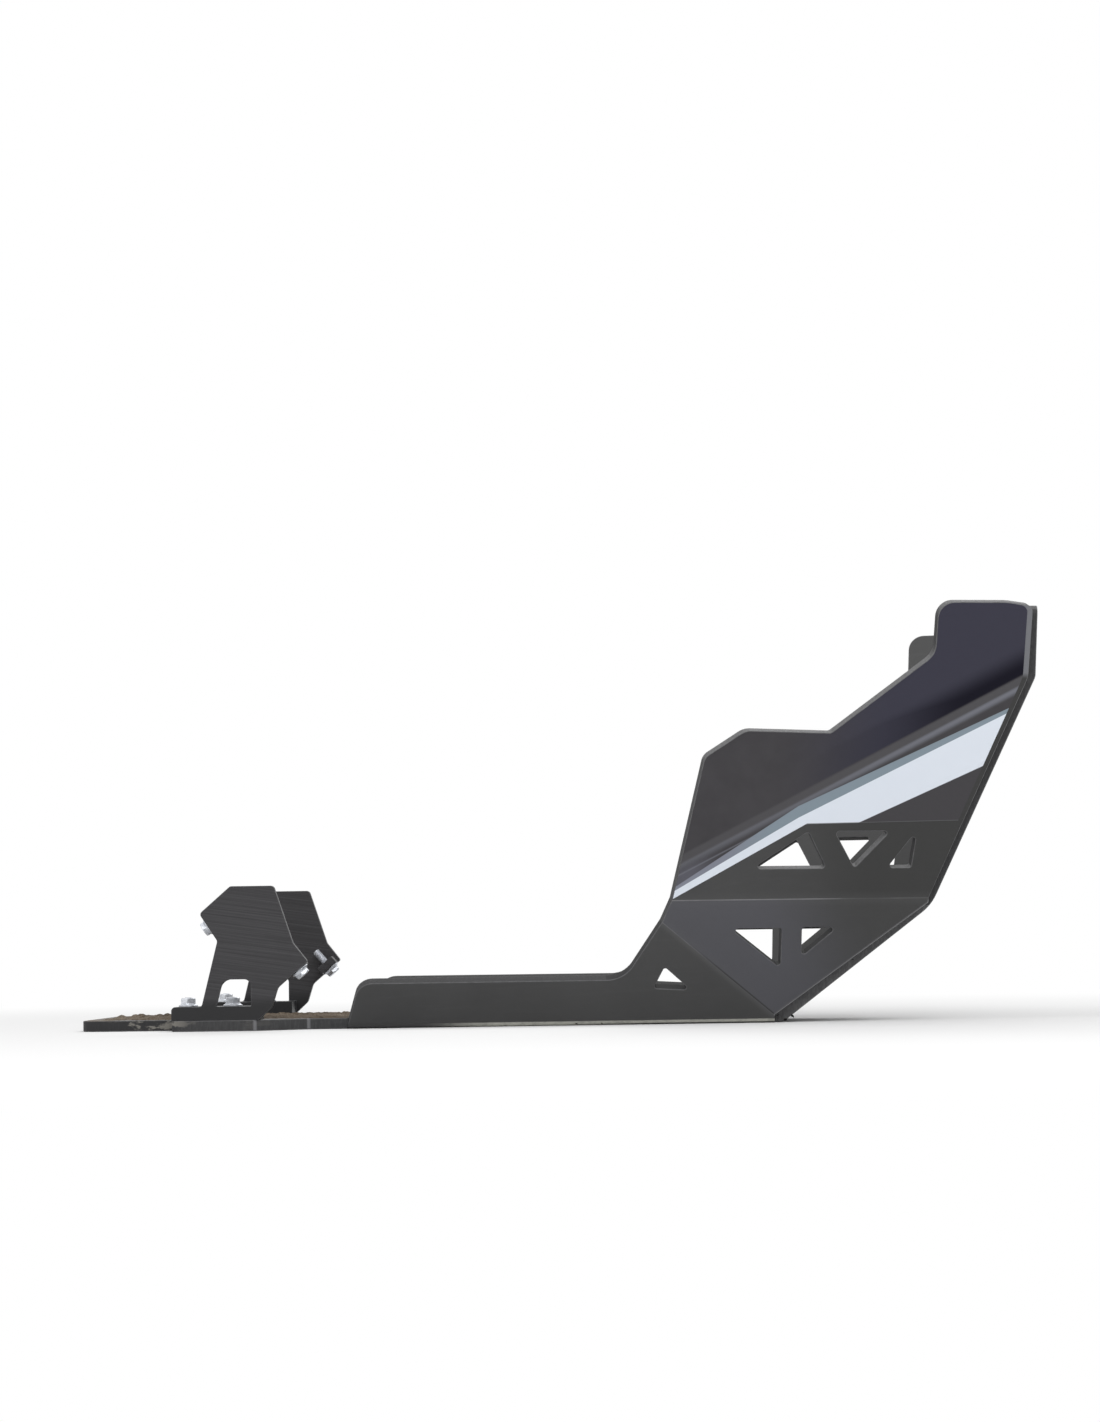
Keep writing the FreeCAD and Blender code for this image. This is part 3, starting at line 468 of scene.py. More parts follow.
def sheetMaterial(name, shine, rubbedHighlit=False):
    material, tree, shader = startMaterial(name)
    place = objectPlace(tree)
    x, y, z = split(tree, place)
    rightY = times(tree, calc(tree, "ABSOLUTE", y), -1.0)
    side = add(tree, "CombineXYZ", x, rightY, z)  # both sides read as the right one
    cloud = noise(tree, place, *sheet["cloudGrain"])
    speck = noise(tree, place, *sheet["speckGrain"])
    streak = noise(tree, place, *sheet["streakGrain"])
    tone = mix(tree, remap(tree, cloud, *sheet["cloudSpan"]), sheet["dark"], sheet["pale"])
    tone = mix(tree, remap(tree, streak, *sheet["streakSpan"]), tone, sheet["streakPale"])
    tone = mix(tree, remap(tree, speck, *sheet["speckSpan"]), tone, sheet["speckPale"])
    # painted cool sheen on the lower panel, a reflection of the floor, fading to the front; painted shade
    # darkens the lower panel and wing to the front
    lower, wing = faceValue(tree, "lowerFace"), faceValue(tree, "wingFace")
    slanted = calc(tree, "MULTIPLY_ADD", z, sheet["sheenSlope"], x)
    sheen = times(tree, lower, remap(tree, slanted, *sheet["sheenSpan"]))
    tone = mix(tree, sheen, tone, sheet["paintedLowerSheen"])
    front = calc(tree, "MULTIPLY_ADD", lower, sheet["lowerShare"], wing)
    front = times(tree, front, remap(tree, x, *sheet["frontSpan"]))
    tone = mix(tree, front, tone, sheet["paintedFrontShade"])
    # pale stretched plastic along the two folds of each side, each with a broad painted highlight about it
    ragged = noise(tree, place, *sheet["raggedGrain"])
    patchy = remap(tree, noise(tree, place, *sheet["patchGrain"]), *sheet["patchSpan"])
    patchy = times(tree, patchy, remap(tree, x, *sheet["foldFade"]))
    width = calc(tree, "MULTIPLY_ADD", ragged, *sheet["foldWidth"])
    foldGap = lineGap(tree, side, sheet["nose"], sheet["foldRun"])
    waistGap = lineGap(tree, side, sheet["waist"], along(sheet["sideYaw"]))
    for gap, strength in ((foldGap, sheet["foldStrength"]), (waistGap, sheet["waistStrength"])):
        line = calc(tree, "SUBTRACT", 1.0, calc(tree, "DIVIDE", gap, width), clamp=True)
        tone = mix(tree, times(tree, line, patchy, strength), tone, sheet["foldWhite"])
        tone = mix(tree, remap(tree, gap, *sheet["foldHighlightSpan"]), tone, sheet["foldHighlight"])
    # painted highlight on the strip beside its fold, and painted shade in the lower panel's crease there
    strip = calc(tree, "SUBTRACT", 1.0, lower)
    beside = times(tree, strip, remap(tree, foldGap, *sheet["bandSpan"]))
    tone = mix(tree, beside, tone, sheet["stripFoldHighlight"])
    crease = times(tree, lower, remap(tree, foldGap, *sheet["creaseSpan"]))
    crease = times(tree, crease, remap(tree, x, *sheet["creaseFrom"]))
    tone = mix(tree, crease, tone, sheet["creaseShade"])
    # painted highlight line along the lower panel's front edge
    prowGap = lineGap(tree, side, sheet["prow"], sheet["prowRun"])
    paleEdge = times(tree, lower, remap(tree, prowGap, *sheet["prowSpan"]))
    tone = mix(tree, paleEdge, tone, sheet["prowHighlight"])
    # bare pale margin in front of the film, on the tab only
    margin = times(tree, remap(tree, x, *sheet["tabFrom"]), remap(tree, z, *sheet["tabAbove"]), wing)
    tone = mix(tree, margin, tone, sheet["tabMargin"])
    # road dust on the long lower bend, from the middle forward, with a painted reflection of the floor
    bendGap = lineGap(tree, side, sheet["nose"], along(sheet["stripYaw"]))
    dustAndReflection = times(tree, remap(tree, bendGap, *sheet["dustGap"]), remap(tree, ragged, *sheet["dustRagged"]))
    lowest = calc(tree, "MAXIMUM", remap(tree, z, *sheet["dustAbove"]), remap(tree, x, *sheet["dustBehind"]))
    dustAndReflection = times(tree, dustAndReflection, remap(tree, x, *sheet["dustFrom"]), lowest)
    tone = mix(tree, dustAndReflection, tone, sheet["dustAndFloorReflection"])
    # sawn edges and vent walls, with painted light and shade by how each face looks
    cut = faceValue(tree, "cutFace")
    chatter = noise(tree, place, *sheet["chatterGrain"])
    paleness = times(tree, faceValue(tree, "sawnPaintedLight"), remap(tree, chatter, *sheet["chatterSpan"]))
    tone = mix(tree, cut, tone, mix(tree, paleness, sheet["cutDark"], sheet["cutPale"]))
    # mud stain on the tail's top, pale dried smears in a few patches down its edge, and painted highlights
    # down two corners
    blotch = remap(tree, noise(tree, place, *sheet["blotchGrain"]), *sheet["blotchSpan"])
    onTop = times(tree, remap(tree, z, *sheet["topFrom"]), remap(tree, z, *sheet["topTo"]))
    stain = times(tree, remap(tree, x, *sheet["tailFrom"]), blotch, onTop)
    stain = times(tree, stain, remap(tree, rightY, *sheet["stainEdge"]))
    tone = mix(tree, stain, tone, sheet["mudStain"])
    low = remap(tree, z, *sheet["lowOnly"])
    splash = remap(tree, noise(tree, place, *sheet["splashGrain"]), *sheet["splashSpan"])
    splash = times(tree, splash, cut, low, remap(tree, x, *sheet["smearFrom"]))
    splash = times(tree, splash, remap(tree, x, *sheet["smearTo"]))
    tone = mix(tree, splash, tone, sheet["smear"])
    for corner in ("earCorner", "neckCorner"):
        gap = lineGap(tree, side, sheet[corner], (0.0, 0.0, 1.0))
        tone = mix(tree, times(tree, remap(tree, gap, *sheet["cornerSpan"]), low), tone, sheet["cornerHighlight"])
    if rubbedHighlit:
        # rounded edges: pale rubbed wear, partly a painted highlight that is stronger higher up, and a
        # painted highlight line along the lower panel's front edge
        paleEdge = times(tree, remap(tree, ragged, *sheet["rubSpan"]), remap(tree, z, *sheet["rubHigh"]))
        tone = mix(tree, paleEdge, tone, sheet["rubAndHighlightPale"])
        tone = mix(tree, remap(tree, prowGap, *sheet["prowEdge"]), tone, sheet["prowEdgeHighlight"])
    tree.links.new(tone, shader.inputs["Base Color"])
    rough = calc(tree, "MULTIPLY_ADD", speck, *sheet["speckRough"])
    rough = calc(tree, "MULTIPLY_ADD", cut, sheet["sawnRough"], rough)
    rough = calc(tree, "MULTIPLY_ADD", stain, sheet["stainRough"], rough, clamp=True)
    tree.links.new(rough, shader.inputs["Roughness"])
    shader.inputs["Specular IOR Level"].default_value = shine
    height = calc(tree, "MULTIPLY_ADD", streak, sheet["streakBump"], speck)
    height = calc(tree, "MULTIPLY_ADD", times(tree, chatter, cut), sheet["chatterBump"], height)
    bumped(tree, shader, height, *sheet["bump"])
    return material


satinFaces = sheetMaterial("satinBlackSheet", sheet["satinShine"])
rubbedHighlitEdges = sheetMaterial("rubbedHighlitSheetEdge", sheet["rubbedShine"], rubbedHighlit=True)
sawnFaces = sheetMaterial("sawnSheetEdge", sheet["sawnShine"])
setMaterial(plate, satinFaces, rubbedHighlitEdges, sawnFaces)
plate.data.polygons.foreach_set("material_index", np.where(onPanel, 0, 2).astype(np.int32))
print("folded sheet:", count, "faces before its edges are rounded")


# rear brackets, black with slanted brushed lines

bracketLook = {
    "edge": 0.45 * mm,
    "dark": (0.021, 0.020, 0.022), "pale": (0.041, 0.040, 0.043),
    "slant": math.radians(-8.0), "lineSpan": (0.41, 0.61),
    "fineGrain": ((9.0, 60.0, 2600.0), 4.0, 0.7), "fineShare": 0.45,
    "coarseGrain": ((5.0, 30.0, 800.0), 5.0, 0.8), "coarseShare": 0.55,
    "cloudGrain": (24.0, 3.0, 0.6), "cloudSpan": (0.5, 0.75, 0.0, 0.35), "cloudDark": (0.018, 0.018, 0.019),
    # painted shade low on the bracket, at its foot
    "foot": (0.009, 0.009, 0.010), "footSpan": (17.5 * mm, 27.0 * mm, 1.0, 0.0),
    # rubbed edges, partly a painted highlight
    "rubSpan": (0.35, 0.65, 0.1, 0.45), "rubAndHighlightPale": (0.09, 0.09, 0.095),
    "rough": (0.22, 0.34), "shine": 0.38, "bump": (0.05 * mm, 0.6),
}


def bracketMaterial(name, rubbedHighlit=False):
    material, tree, shader = startMaterial(name)
    place = objectPlace(tree)
    tilted = stretch(tree, place, (1.0, 1.0, 1.0), (0.0, bracketLook["slant"], 0.0))
    fine = noise(tree, tilted, *bracketLook["fineGrain"])
    coarse = noise(tree, tilted, *bracketLook["coarseGrain"])
    cloud = noise(tree, place, *bracketLook["cloudGrain"])
    line = times(tree, fine, bracketLook["fineShare"])
    line = calc(tree, "MULTIPLY_ADD", coarse, bracketLook["coarseShare"], line)
    tone = mix(tree, remap(tree, line, *bracketLook["lineSpan"]), bracketLook["dark"], bracketLook["pale"])
    tone = mix(tree, remap(tree, cloud, *bracketLook["cloudSpan"]), tone, bracketLook["cloudDark"])
    # painted shade darkens the bracket low down, at its foot
    high = split(tree, place)[2]
    tone = mix(tree, remap(tree, high, *bracketLook["footSpan"]), tone, bracketLook["foot"])
    if rubbedHighlit:
        # rounded edges: pale rubbed wear, partly a painted highlight
        tone = mix(tree, remap(tree, cloud, *bracketLook["rubSpan"]), tone, bracketLook["rubAndHighlightPale"])
    tree.links.new(tone, shader.inputs["Base Color"])
    tree.links.new(calc(tree, "MULTIPLY_ADD", fine, *bracketLook["rough"]), shader.inputs["Roughness"])
    shader.inputs["Specular IOR Level"].default_value = bracketLook["shine"]
    bumped(tree, shader, line, *bracketLook["bump"])
    return material


bracketFaces = bracketMaterial("brushedBlackBracket")
bracketEdges = bracketMaterial("rubbedHighlitBracketEdge", rubbedHighlit=True)
for node, name in (("bracket_right", "rightBracket"), ("bracket_left", "leftBracket")):
    bracket = mergedCopy(node, name, bracketLook["edge"])
    setMaterial(bracket, bracketFaces, bracketEdges)
print("brackets ready")


# zinc fasteners, each a turned profile whose radius may also follow a hexagon, in mm

zinc = {
    "turns": 72, "crisp": 28,
    # flange as heights and how far each lies inside the rim, then its cone, the hexagon and the crown
    "flangeWide": 14.2, "flangeRows": ((0.0, 0.25), (0.2, 0.0), (0.85, 0.0), (1.1, 0.3)),
    "coneRows": ((1.6, 1.2), (2.5, 2.2)),
    "hexAcross": 10.0, "hexFrom": 2.75,
    "crown": 0.9, "crownSteps": 7, "crownSlope": 0.72 / math.tan(math.radians(30)),
    "threadWide": 6.0, "pitch": 1.0, "threadDeep": 0.55, "threadFlank": 1.25, "threadCrest": 0.12,
    "threadSteps": 8, "tip": 0.8,
    "nutHigh": 6.4, "boreGap": 0.1, "boreEase": 0.5, "nutAt": 18.0,
    "screwX": (-273.0, -240.0), "screwY": (-108.0, 108.0), "screwAt": 0.3,
    "screwLong": 24.5, "headWide": 12.0, "headRows": ((0.0, 0.2), (0.2, 0.05)), "headDeep": 3.0,
    "shankEnd": 20.5, "threadFrom": 20.7,
    "socketAcross": 4.0, "socketDeep": 2.4, "socketCone": 0.4, "socketEase": 0.15,
    "boltLong": 18.0, "boltShank": 6.0, "boltThreadFrom": 6.2, "boltThreadWide": 5.9,
    "boltHigh": 5.2, "dishDeep": 0.15, "dishHalf": 3.6,
    # place along and up, and direction of the head, of the bolts at both sides
    "boltRows": (((-189.765, 43.882), (0.651921, -0.758287)), ((-255.951, 76.986), (-0.834609, -0.550842))),
    "boltY": (-115.0, 115.0),
    "bright": (0.70, 0.72, 0.76), "dull": (0.52, 0.54, 0.58), "pits": (0.36, 0.36, 0.38),
    "cloudGrain": (260.0, 4.0, 0.6), "cloudSpan": (0.35, 0.7),
    "fineGrain": (2400.0, 2.0, 0.6), "pitSpan": (0.58, 0.75, 0.0, 0.5),
    "metallic": 0.75, "rough": (0.2, 0.34), "bump": (0.02 * mm, 0.5),
}


def hexRadius(across, angle):
    # distance from the axis to a hexagon's side in that direction
    return across / 2 / np.cos((angle + np.pi / 6) % (np.pi / 3) - np.pi / 6)


def turned(rows, angle):
    # rows of height and radius, the radius a number or an array over the angles, as a (rows, angles, 3) grid
    high = np.array([row[0] for row in rows])[:, None] + 0 * angle[None, :]
    radius = np.array([row[1] + 0 * angle for row in rows])
    return np.stack([radius * np.cos(angle), radius * np.sin(angle), high], -1)


def threadRows(start, end, wide, angle):
    # a screw thread: radius falls and rises once a pitch, shifted by the angle; it dies away into the tip
    rows = []
    for high in np.linspace(start, end, int(abs(end - start) / zinc["pitch"] * zinc["threadSteps"]) + 1):
        phase = (high / zinc["pitch"] - angle / (2 * np.pi)) % 1.0
        flank = zinc["threadFlank"] * np.abs(2 * phase - 1) - zinc["threadCrest"]
        depth = zinc["threadDeep"] * np.clip(flank, 0.0, 1.0)
        limit = wide / 2 - zinc["tip"] * max(0.0, 1 - abs(end - high) / zinc["tip"])
        rows.append((high, np.minimum(wide / 2 - depth, limit)))
    return rows


def flangedHex(high, angle):
    # flange rim, its cone, the hexagon, and a crown whose corners a cone takes off
    sides = hexRadius(zinc["hexAcross"], angle)
    corner = zinc["hexAcross"] / 2 / math.cos(math.pi / 6)
    rim = zinc["flangeWide"] / 2
    rows = [(level, rim - inside) for level, inside in zinc["flangeRows"]]
    rows += [(level, np.maximum(sides, rim - inside)) for level, inside in zinc["coneRows"]]
    rows += [(zinc["hexFrom"], sides)]
    for drop in np.linspace(zinc["crown"], 0.0, zinc["crownSteps"]):
        cone = corner - (zinc["crown"] - drop) * zinc["crownSlope"]
        rows.append((high - drop, np.minimum(sides, cone)))
    return rows


def fastenerGroup(name, node, shape, places):
    # one turned shape set at every place, as one piece
    points = np.concatenate([shape.reshape(-1, 3) @ turn.T + spot for turn, spot in places]) * mm
    each = shape.shape[0] * shape.shape[1]
    quads = gridFaces(*shape.shape[:2])
    faces = np.concatenate([quads + each * i for i in range(len(places))])
    piece = putMesh(name, points, faces)
    sealed(piece, zinc["crisp"])
    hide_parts(node)
    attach(piece, "root")
    return piece


def axisTurn(direction):
    return np.array(Vector((0, 0, 1)).rotation_difference(Vector(direction)).to_matrix())


def zincMaterial():
    material, tree, shader = startMaterial("brightZinc")
    place = objectPlace(tree)
    cloud = noise(tree, place, *zinc["cloudGrain"])
    fine = noise(tree, place, *zinc["fineGrain"])
    tone = mix(tree, remap(tree, cloud, *zinc["cloudSpan"]), zinc["bright"], zinc["dull"])
    tone = mix(tree, remap(tree, fine, *zinc["pitSpan"]), tone, zinc["pits"])
    tree.links.new(tone, shader.inputs["Base Color"])
    shader.inputs["Metallic"].default_value = zinc["metallic"]
    tree.links.new(calc(tree, "MULTIPLY_ADD", cloud, *zinc["rough"]), shader.inputs["Roughness"])
    bumped(tree, shader, fine, *zinc["bump"])
    return material


angle = np.linspace(0.0, 2 * np.pi, zinc["turns"], endpoint=False)
half = zinc["threadWide"] / 2
screwSpots = [(x, y) for x in zinc["screwX"] for y in zinc["screwY"]]

bore = half - zinc["boreGap"]
nutRows = [(0.0, bore)] + flangedHex(zinc["nutHigh"], angle)
nutRows += [(zinc["nutHigh"], bore + zinc["boreEase"])]
nutRows += [(zinc["nutHigh"] - zinc["boreEase"], bore), (0.0, bore)]
nutPlaces = [(np.eye(3), np.array([x, y, zinc["nutAt"]])) for x, y in screwSpots]
nuts = fastenerGroup("flangeNuts", "bracket_nuts", turned(nutRows, angle), nutPlaces)

socket = hexRadius(zinc["socketAcross"], angle)
screwRows = [(zinc["socketDeep"] + zinc["socketCone"], 0.0), (zinc["socketDeep"], socket)]
screwRows += [(zinc["socketEase"], socket), (0.0, socket + zinc["socketEase"])]
screwRows += [(level, zinc["headWide"] / 2 - inside) for level, inside in zinc["headRows"]]
screwRows += [(zinc["headDeep"], half), (zinc["shankEnd"], half)]
screwRows += threadRows(zinc["threadFrom"], zinc["screwLong"], zinc["threadWide"], angle)
screwRows += [(zinc["screwLong"], 0.0)]
screwPlaces = [(np.eye(3), np.array([x, y, zinc["screwAt"]])) for x, y in screwSpots]
screws = fastenerGroup("footScrews", "bracket_screws", turned(screwRows, angle), screwPlaces)

boltRows = [(-zinc["boltLong"], 0.0)]
boltRows += threadRows(-zinc["boltThreadFrom"], -zinc["boltLong"], zinc["boltThreadWide"], angle)[::-1]
boltRows += [(-zinc["boltShank"], half), (0.0, half)] + flangedHex(zinc["boltHigh"], angle)
dish = zinc["boltHigh"] - zinc["dishDeep"]
boltRows += [(dish, zinc["dishHalf"]), (dish, 0.0)]
boltPlaces = []
for spot, out in zinc["boltRows"]:
    for y in zinc["boltY"]:
        boltPlaces.append((axisTurn((out[0], 0.0, out[1])), np.array([spot[0], y, spot[1]])))
bolts = fastenerGroup("hangerBolts", "hanger_bolts", turned(boltRows, angle), boltPlaces)
brightZinc = zincMaterial()
for piece in (nuts, screws, bolts):
    setMaterial(piece, brightZinc)
print("fasteners ready")


# printed film on the right wing

film = {
    # lines through points of the wing's own plane, across and up from the middle of the waist fold, in mm
    "whiteTop": ((-91.5, 6.0), (0.5, 62.2), (150.0, 139.0)),
    "greyTop": ((-91.5, 8.6), (0.0, 71.0), (150.0, 142.5)),
    "whiteLow": ((-91.5, -6.0), (150.0, 106.5)),
    "lowEdge": ((6.4, 57.3), (126.0, 59.2)),
    "streakAt": 72.4, "streakSlope": 0.54,
    "crisp": 0.2,
    "charcoal": (0.0555, 0.053, 0.0575), "charcoalDark": (0.04884, 0.04664, 0.0506),
    "cloudGrain": (30.0, 3.0, 0.6), "cloudSpan": (0.35, 0.7),
    # dark blue, by place across and height over the streak
    "navy": (0.0035, 0.0030, 0.0095), "navyAcross": (-25.0, 70.0), "navyOver": (7.5, 10.5),
    "navyHigh": (0.039, 0.038, 0.056), "highOver": (14.0, 34.0), "highAcross": (50.0, 126.0, 0.8, 0.0),
    # light streak
    "band": (0.074, 0.072, 0.077), "bandFrom": (-1.0, 1.0), "bandTo": (7.0, 9.8, 1.0, 0.0),
    "core": (0.153, 0.158, 0.183), "coreFrom": (-5.0, 0.0), "coreTo": (0.5, 3.2, 1.0, 0.0),
    "coreAcross": (-90.0, 150.0, 0.45, 1.0),
    "haze": (0.113, 0.113, 0.138), "hazeShare": 0.75,
    "hazeAcross": (-52.0, -80.0), "hazeOver": (1.0, -8.0),
    "secondAt": -6.4, "secondSpan": (0.1, 1.1, 0.6, 0.0), "secondAcross": (-20.0, -45.0),
    # stripes and the cut rim
    "white": (0.678, 0.723, 0.793),
    "grey": (0.213, 0.263, 0.303), "lilac": (0.208, 0.220, 0.266), "greyAcross": (-60.0, -12.0),
    "rim": (0.108, 0.108, 0.113), "rimSpan": (0.2, 0.9, 0.8, 0.0), "rimAcross": (6.4, 7.4),
    "fineGrain": (1100.0, 2.0, 0.6), "waveGrain": (55.0, 2.0, 0.5), "waveBump": 3.0,
    "rough": (0.12, 0.26), "shine": 0.12, "bump": (0.02 * mm, 0.5),
}


def filmMaterial():
    material, tree, shader = startMaterial("printedFilm")
    place = objectPlace(tree)
    turn = (math.pi / 2 + sheet["wingTilt"], 0.0, sheet["sideYaw"])
    local = add(tree, "Mapping", place, sheet["waist"], turn, None, vector_type="TEXTURE")
    parts = split(tree, local)
    u = calc(tree, "DIVIDE", parts[0], mm)  # across and up on the wing, in mm
    v = calc(tree, "DIVIDE", parts[1], mm)

    def over(first, last):
        # height above the straight line through two points, across that line
        run = Vector(last) - Vector(first)
        line = calc(tree, "MULTIPLY_ADD", u, run.y / run.x, first[1] - first[0] * run.y / run.x)
        return times(tree, calc(tree, "SUBTRACT", v, line), run.x / run.length)

    def below(gap):
        return remap(tree, gap, -film["crisp"], film["crisp"], 1.0, 0.0)

    def belowBent(points):
        # 1 below a line that bends down at its middle point
        return below(calc(tree, "MAXIMUM", over(points[0], points[1]), over(points[1], points[2])))

    streak = calc(tree, "MULTIPLY_ADD", u, film["streakSlope"], film["streakAt"])
    overStreak = calc(tree, "SUBTRACT", v, streak)
    cloud = noise(tree, place, *film["cloudGrain"])
    tone = mix(tree, remap(tree, cloud, *film["cloudSpan"]), film["charcoal"], film["charcoalDark"])
    # dark blue above the streak to the front, paler again higher up
    dark = times(tree, remap(tree, u, *film["navyAcross"]), remap(tree, overStreak, *film["navyOver"]))
    paler = remap(tree, overStreak, *film["highOver"])
    paler = calc(tree, "MAXIMUM", paler, remap(tree, u, *film["highAcross"]))
    tone = mix(tree, dark, tone, mix(tree, paler, film["navy"], film["navyHigh"]))
    # light streak: a bright core with a soft foot, and a fainter band over it
    band = times(tree, remap(tree, overStreak, *film["bandFrom"]), remap(tree, overStreak, *film["bandTo"]))
    tone = mix(tree, band, tone, film["band"])
    core = times(tree, remap(tree, overStreak, *film["coreFrom"]), remap(tree, overStreak, *film["coreTo"]))
    core = times(tree, core, remap(tree, u, *film["coreAcross"]))
    tone = mix(tree, core, tone, film["core"])
    # soft haze under the streak in the rear corner, and a faint second line
    haze = times(tree, remap(tree, u, *film["hazeAcross"]), remap(tree, overStreak, *film["hazeOver"]))
    tone = mix(tree, times(tree, haze, film["hazeShare"]), tone, film["haze"])
    second = calc(tree, "ABSOLUTE", calc(tree, "SUBTRACT", overStreak, film["secondAt"]))
    second = times(tree, remap(tree, second, *film["secondSpan"]), remap(tree, u, *film["secondAcross"]))
    tone = mix(tree, second, tone, film["core"])
    # grey and white stripes, charcoal again below them
    grey = mix(tree, remap(tree, u, *film["greyAcross"]), film["lilac"], film["grey"])
    tone = mix(tree, belowBent(film["greyTop"]), tone, grey)
    tone = mix(tree, belowBent(film["whiteTop"]), tone, film["white"])
    tone = mix(tree, below(over(*film["whiteLow"])), tone, film["charcoal"])
    # pale cut rim along the level lower edge
    rim = remap(tree, over(*film["lowEdge"]), *film["rimSpan"])
    rim = times(tree, rim, remap(tree, u, *film["rimAcross"]))
    tone = mix(tree, rim, tone, film["rim"])
    tree.links.new(tone, shader.inputs["Base Color"])
    fine = noise(tree, place, *film["fineGrain"])
    tree.links.new(calc(tree, "MULTIPLY_ADD", fine, *film["rough"]), shader.inputs["Roughness"])
    shader.inputs["Specular IOR Level"].default_value = film["shine"]
    wave = noise(tree, place, *film["waveGrain"])
    bumped(tree, shader, calc(tree, "MULTIPLY_ADD", wave, film["waveBump"], fine), *film["bump"])
    return material


setMaterial(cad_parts["graphic_film_right"], filmMaterial())
print("film printed")


# dried mud on top of the tail

mud = {
    "seed": 11,
    "rows": 300, "cols": 110,
    "from": -0.350, "to": -0.112,
    "outlineX": (-0.350, -0.338, -0.284, -0.222, -0.206, -0.199, -0.186, -0.160, -0.140, -0.112),
    "outlineHalf": (0.066, 0.082, 0.088, 0.091, 0.092, 0.102, 0.095, 0.0945, 0.086, 0.060),
    "sheetTop": 8.0 * mm, "buried": 0.5 * mm,
    # heights in mm: mean, rolling fields as share, longest wave and number of waves, and round lumps
    "mean": 0.55,
    "rolls": ((0.65, 60 * mm, 22), (0.34, 14 * mm, 26), (0.16, 4.5 * mm, 26)),
    "lumps": 70, "lumpAcross": 0.092, "lumpWide": (1.6, 4.5), "lumpHigh": (0.6, 1.9),
    "sideFade": 4 * mm, "rearFade": 14 * mm, "frontFade": 40 * mm,
    "sink": 0.9, "lowest": -0.35, "highest": 3.2,
    "dark": (0.060, 0.045, 0.033), "mid": (0.125, 0.097, 0.072), "pale": (0.235, 0.195, 0.150),
    "clodGrain": (120.0, 5.0, 0.7), "clodSpan": (0.34, 0.58),
    "gritGrain": (900.0, 3.0, 0.7), "gritShare": 0.6,
    "patchGrain": (28.0, 2.0, 0.5), "patchShare": 0.4, "paleSpan": (0.48, 0.66),
    "rough": 0.95, "shine": 0.15, "gritBump": 0.5, "bump": (0.5 * mm, 0.9),
}
rng = np.random.default_rng(mud["seed"])


def ripple(x, y, longest, waves):
    # a random rolling field: a sum of cosines over the root of their number, with random headings
    # and wavelengths down to a third of the longest
    field = np.zeros_like(x)
    for _ in range(waves):
        heading, phase = rng.uniform(0, 2 * np.pi, 2)
        number = 2 * np.pi / (longest * rng.uniform(0.33, 1.0))
        field += np.cos(number * (x * np.cos(heading) + y * np.sin(heading)) + phase)
    return field / math.sqrt(waves)


# height over the tail: three rolling fields plus round lumps, sinking under the sheet's top at the outline
mudX = np.linspace(mud["from"], mud["to"], mud["rows"])[:, None]
mudAcross = np.linspace(-1.0, 1.0, mud["cols"])[None, :]
mudHalf = np.interp(mudX, mud["outlineX"], mud["outlineHalf"])
mudY = mudHalf * mudAcross
mudX = mudX + 0 * mudY
crust = np.full_like(mudX, mud["mean"])
for share, longest, waves in mud["rolls"]:
    crust += share * ripple(mudX, mudY, longest, waves)
for _ in range(mud["lumps"]):
    lumpX = rng.uniform(mud["from"], mud["to"])
    lumpY = rng.uniform(-mud["lumpAcross"], mud["lumpAcross"])
    wide = rng.uniform(*mud["lumpWide"]) * mm
    high = rng.uniform(*mud["lumpHigh"])
    crust += high * np.exp(-(((mudX - lumpX) ** 2 + (mudY - lumpY) ** 2) / wide ** 2) ** 2)
border = np.clip((1 - np.abs(mudAcross)) * mudHalf / mud["sideFade"], 0, 1)
border = border * np.clip((mudX - mud["from"]) / mud["rearFade"], 0, 1)
border = border * np.clip((mud["to"] - mudX) / mud["frontFade"], 0, 1)
crust = np.clip(crust * border - mud["sink"] * (1 - border), mud["lowest"], mud["highest"]) * mm
mudTop = np.stack([mudX, mudY, mud["sheetTop"] + crust], -1)
mudBase = np.stack([mudX, mudY, np.full_like(mudX, mud["sheetTop"] - mud["buried"])], -1)[:, ::-1]
mudGrid = np.concatenate([mudTop, mudBase], 1)
mudEnds = np.repeat(mudGrid[[0, -1]].mean(1, keepdims=True), mudGrid.shape[1], 1)
mudGrid = np.concatenate([mudEnds[:1], mudGrid, mudEnds[1:]], 0)
crustPiece = putMesh("driedMud", mudGrid, gridFaces(*mudGrid.shape[:2]))
sealed(crustPiece)
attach(crustPiece, "root")


def mudMaterial():
    material, tree, shader = startMaterial("driedMud")
    place = objectPlace(tree)
    clod = noise(tree, place, *mud["clodGrain"])
    grit = noise(tree, place, *mud["gritGrain"])
    patch = noise(tree, place, *mud["patchGrain"])
    tone = mix(tree, remap(tree, clod, *mud["clodSpan"]), mud["dark"], mud["mid"])
    dry = calc(tree, "MULTIPLY_ADD", grit, mud["gritShare"], times(tree, patch, mud["patchShare"]))
    tone = mix(tree, remap(tree, dry, *mud["paleSpan"]), tone, mud["pale"])
    tree.links.new(tone, shader.inputs["Base Color"])
    shader.inputs["Roughness"].default_value = mud["rough"]
    shader.inputs["Specular IOR Level"].default_value = mud["shine"]
    bumped(tree, shader, calc(tree, "MULTIPLY_ADD", grit, mud["gritBump"], clod), *mud["bump"])
    return material


setMaterial(crustPiece, mudMaterial())
print("mud laid")


# curled cutting burrs at the nose corners, on the front edge and under the bends

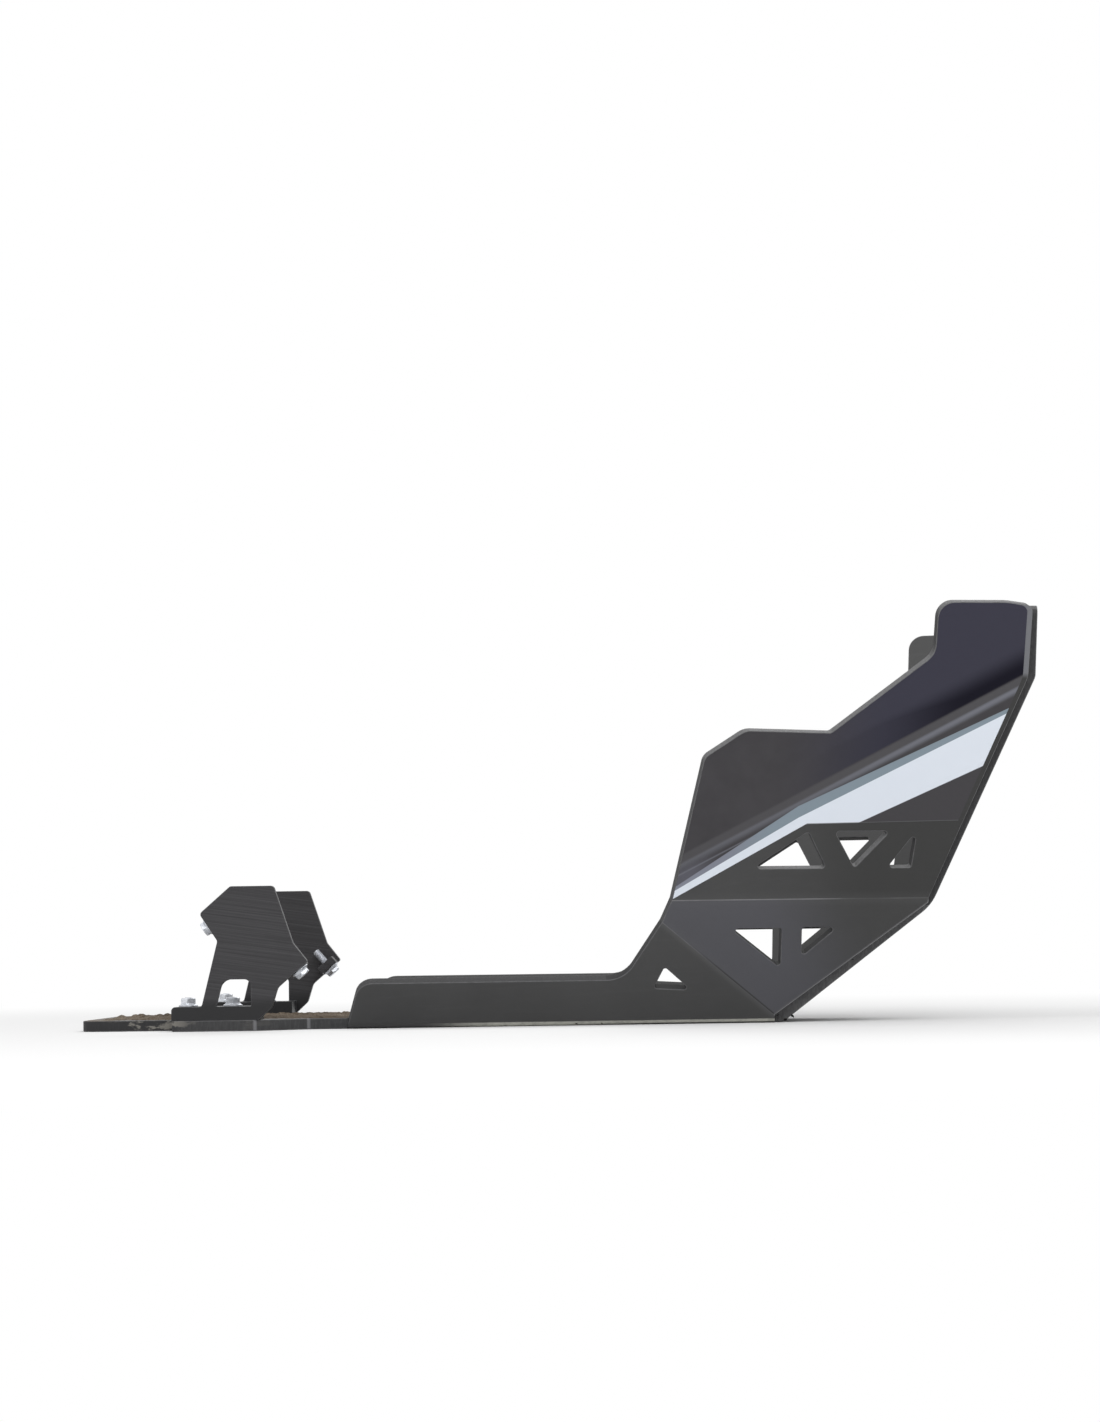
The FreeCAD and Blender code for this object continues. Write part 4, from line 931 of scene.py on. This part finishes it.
burr = {
    "turns": 10, "steps": 26, "spin": 7.0,
    # root, reach, curl and thickness of each in mm, the same at both sides
    "rows": (
        ((167.2, -65.2, 2.0), (2.6, -1.4, -0.8), 0.7, 1.2),
        ((172.6, -65.4, 5.4), (2.0, -0.9, -2.4), 0.5, 1.1),
        ((160.9, -79.1, 5.2), (3.2, -2.6, 0.6), 0.9, 0.3),
        ((217.4, -83.7, 46.4), (2.2, -1.4, -1.2), 0.5, 0.3),
        ((12.0, -86.3, 1.5), (2.2, -0.8, -0.8), 0.3, 0.45),
        ((31.0, -85.0, 1.5), (1.6, -0.9, -0.8), 0.3, 0.4),
    ),
    "rootOpen": 0.04, "thinning": 0.6,
    "dark": (0.004, 0.004, 0.004), "pale": (0.016, 0.016, 0.016), "grain": 1500.0,
    "rough": 0.7, "shine": 0.1,
}
# a thinning tube along a straight run with a growing curl about it
run = np.linspace(0.0, 1.0, burr["steps"])[:, None]
spin = burr["spin"] * run
taper = np.sin(np.pi * np.clip(run * (1 - burr["rootOpen"]) + burr["rootOpen"], 0, 1)) ** 0.5
taper = taper * (1 - burr["thinning"] * run)
section = np.linspace(0.0, 2 * np.pi, burr["turns"], endpoint=False)[None, :]
burrGrids = []
for root, reach, curl, wide in burr["rows"]:
    for side in (1.0, -1.0):
        rootSpot, reachRun = np.array(root) * (1, side, 1), np.array(reach) * (1, side, 1)
        heading = reachRun / np.linalg.norm(reachRun)
        first = np.cross(heading, (0.0, 0.0, 1.0))
        first /= np.linalg.norm(first)
        second = np.cross(heading, first)
        middle = rootSpot + run * reachRun + curl * run * (np.cos(spin) * first + np.sin(spin) * second)
        around = np.cos(section)[..., None] * first + np.sin(section)[..., None] * second
        burrGrids.append((middle[:, None, :] + (wide * taper)[:, None] * around) * mm)
each = burr["steps"] * burr["turns"]
burrPoints = np.concatenate([grid.reshape(-1, 3) for grid in burrGrids])
burrFaces = gridFaces(burr["steps"], burr["turns"])
burrFaces = np.concatenate([burrFaces + each * i for i in range(len(burrGrids))])
burrs = putMesh("cutBurrs", burrPoints, burrFaces)
sealed(burrs)
shavings, tree, shader = startMaterial("blackShavings")
grain = noise(tree, objectPlace(tree), burr["grain"])
tree.links.new(mix(tree, grain, burr["dark"], burr["pale"]), shader.inputs["Base Color"])
shader.inputs["Roughness"].default_value = burr["rough"]
shader.inputs["Specular IOR Level"].default_value = burr["shine"]
setMaterial(burrs, shavings)
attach(burrs, "root")
print("burrs ready")
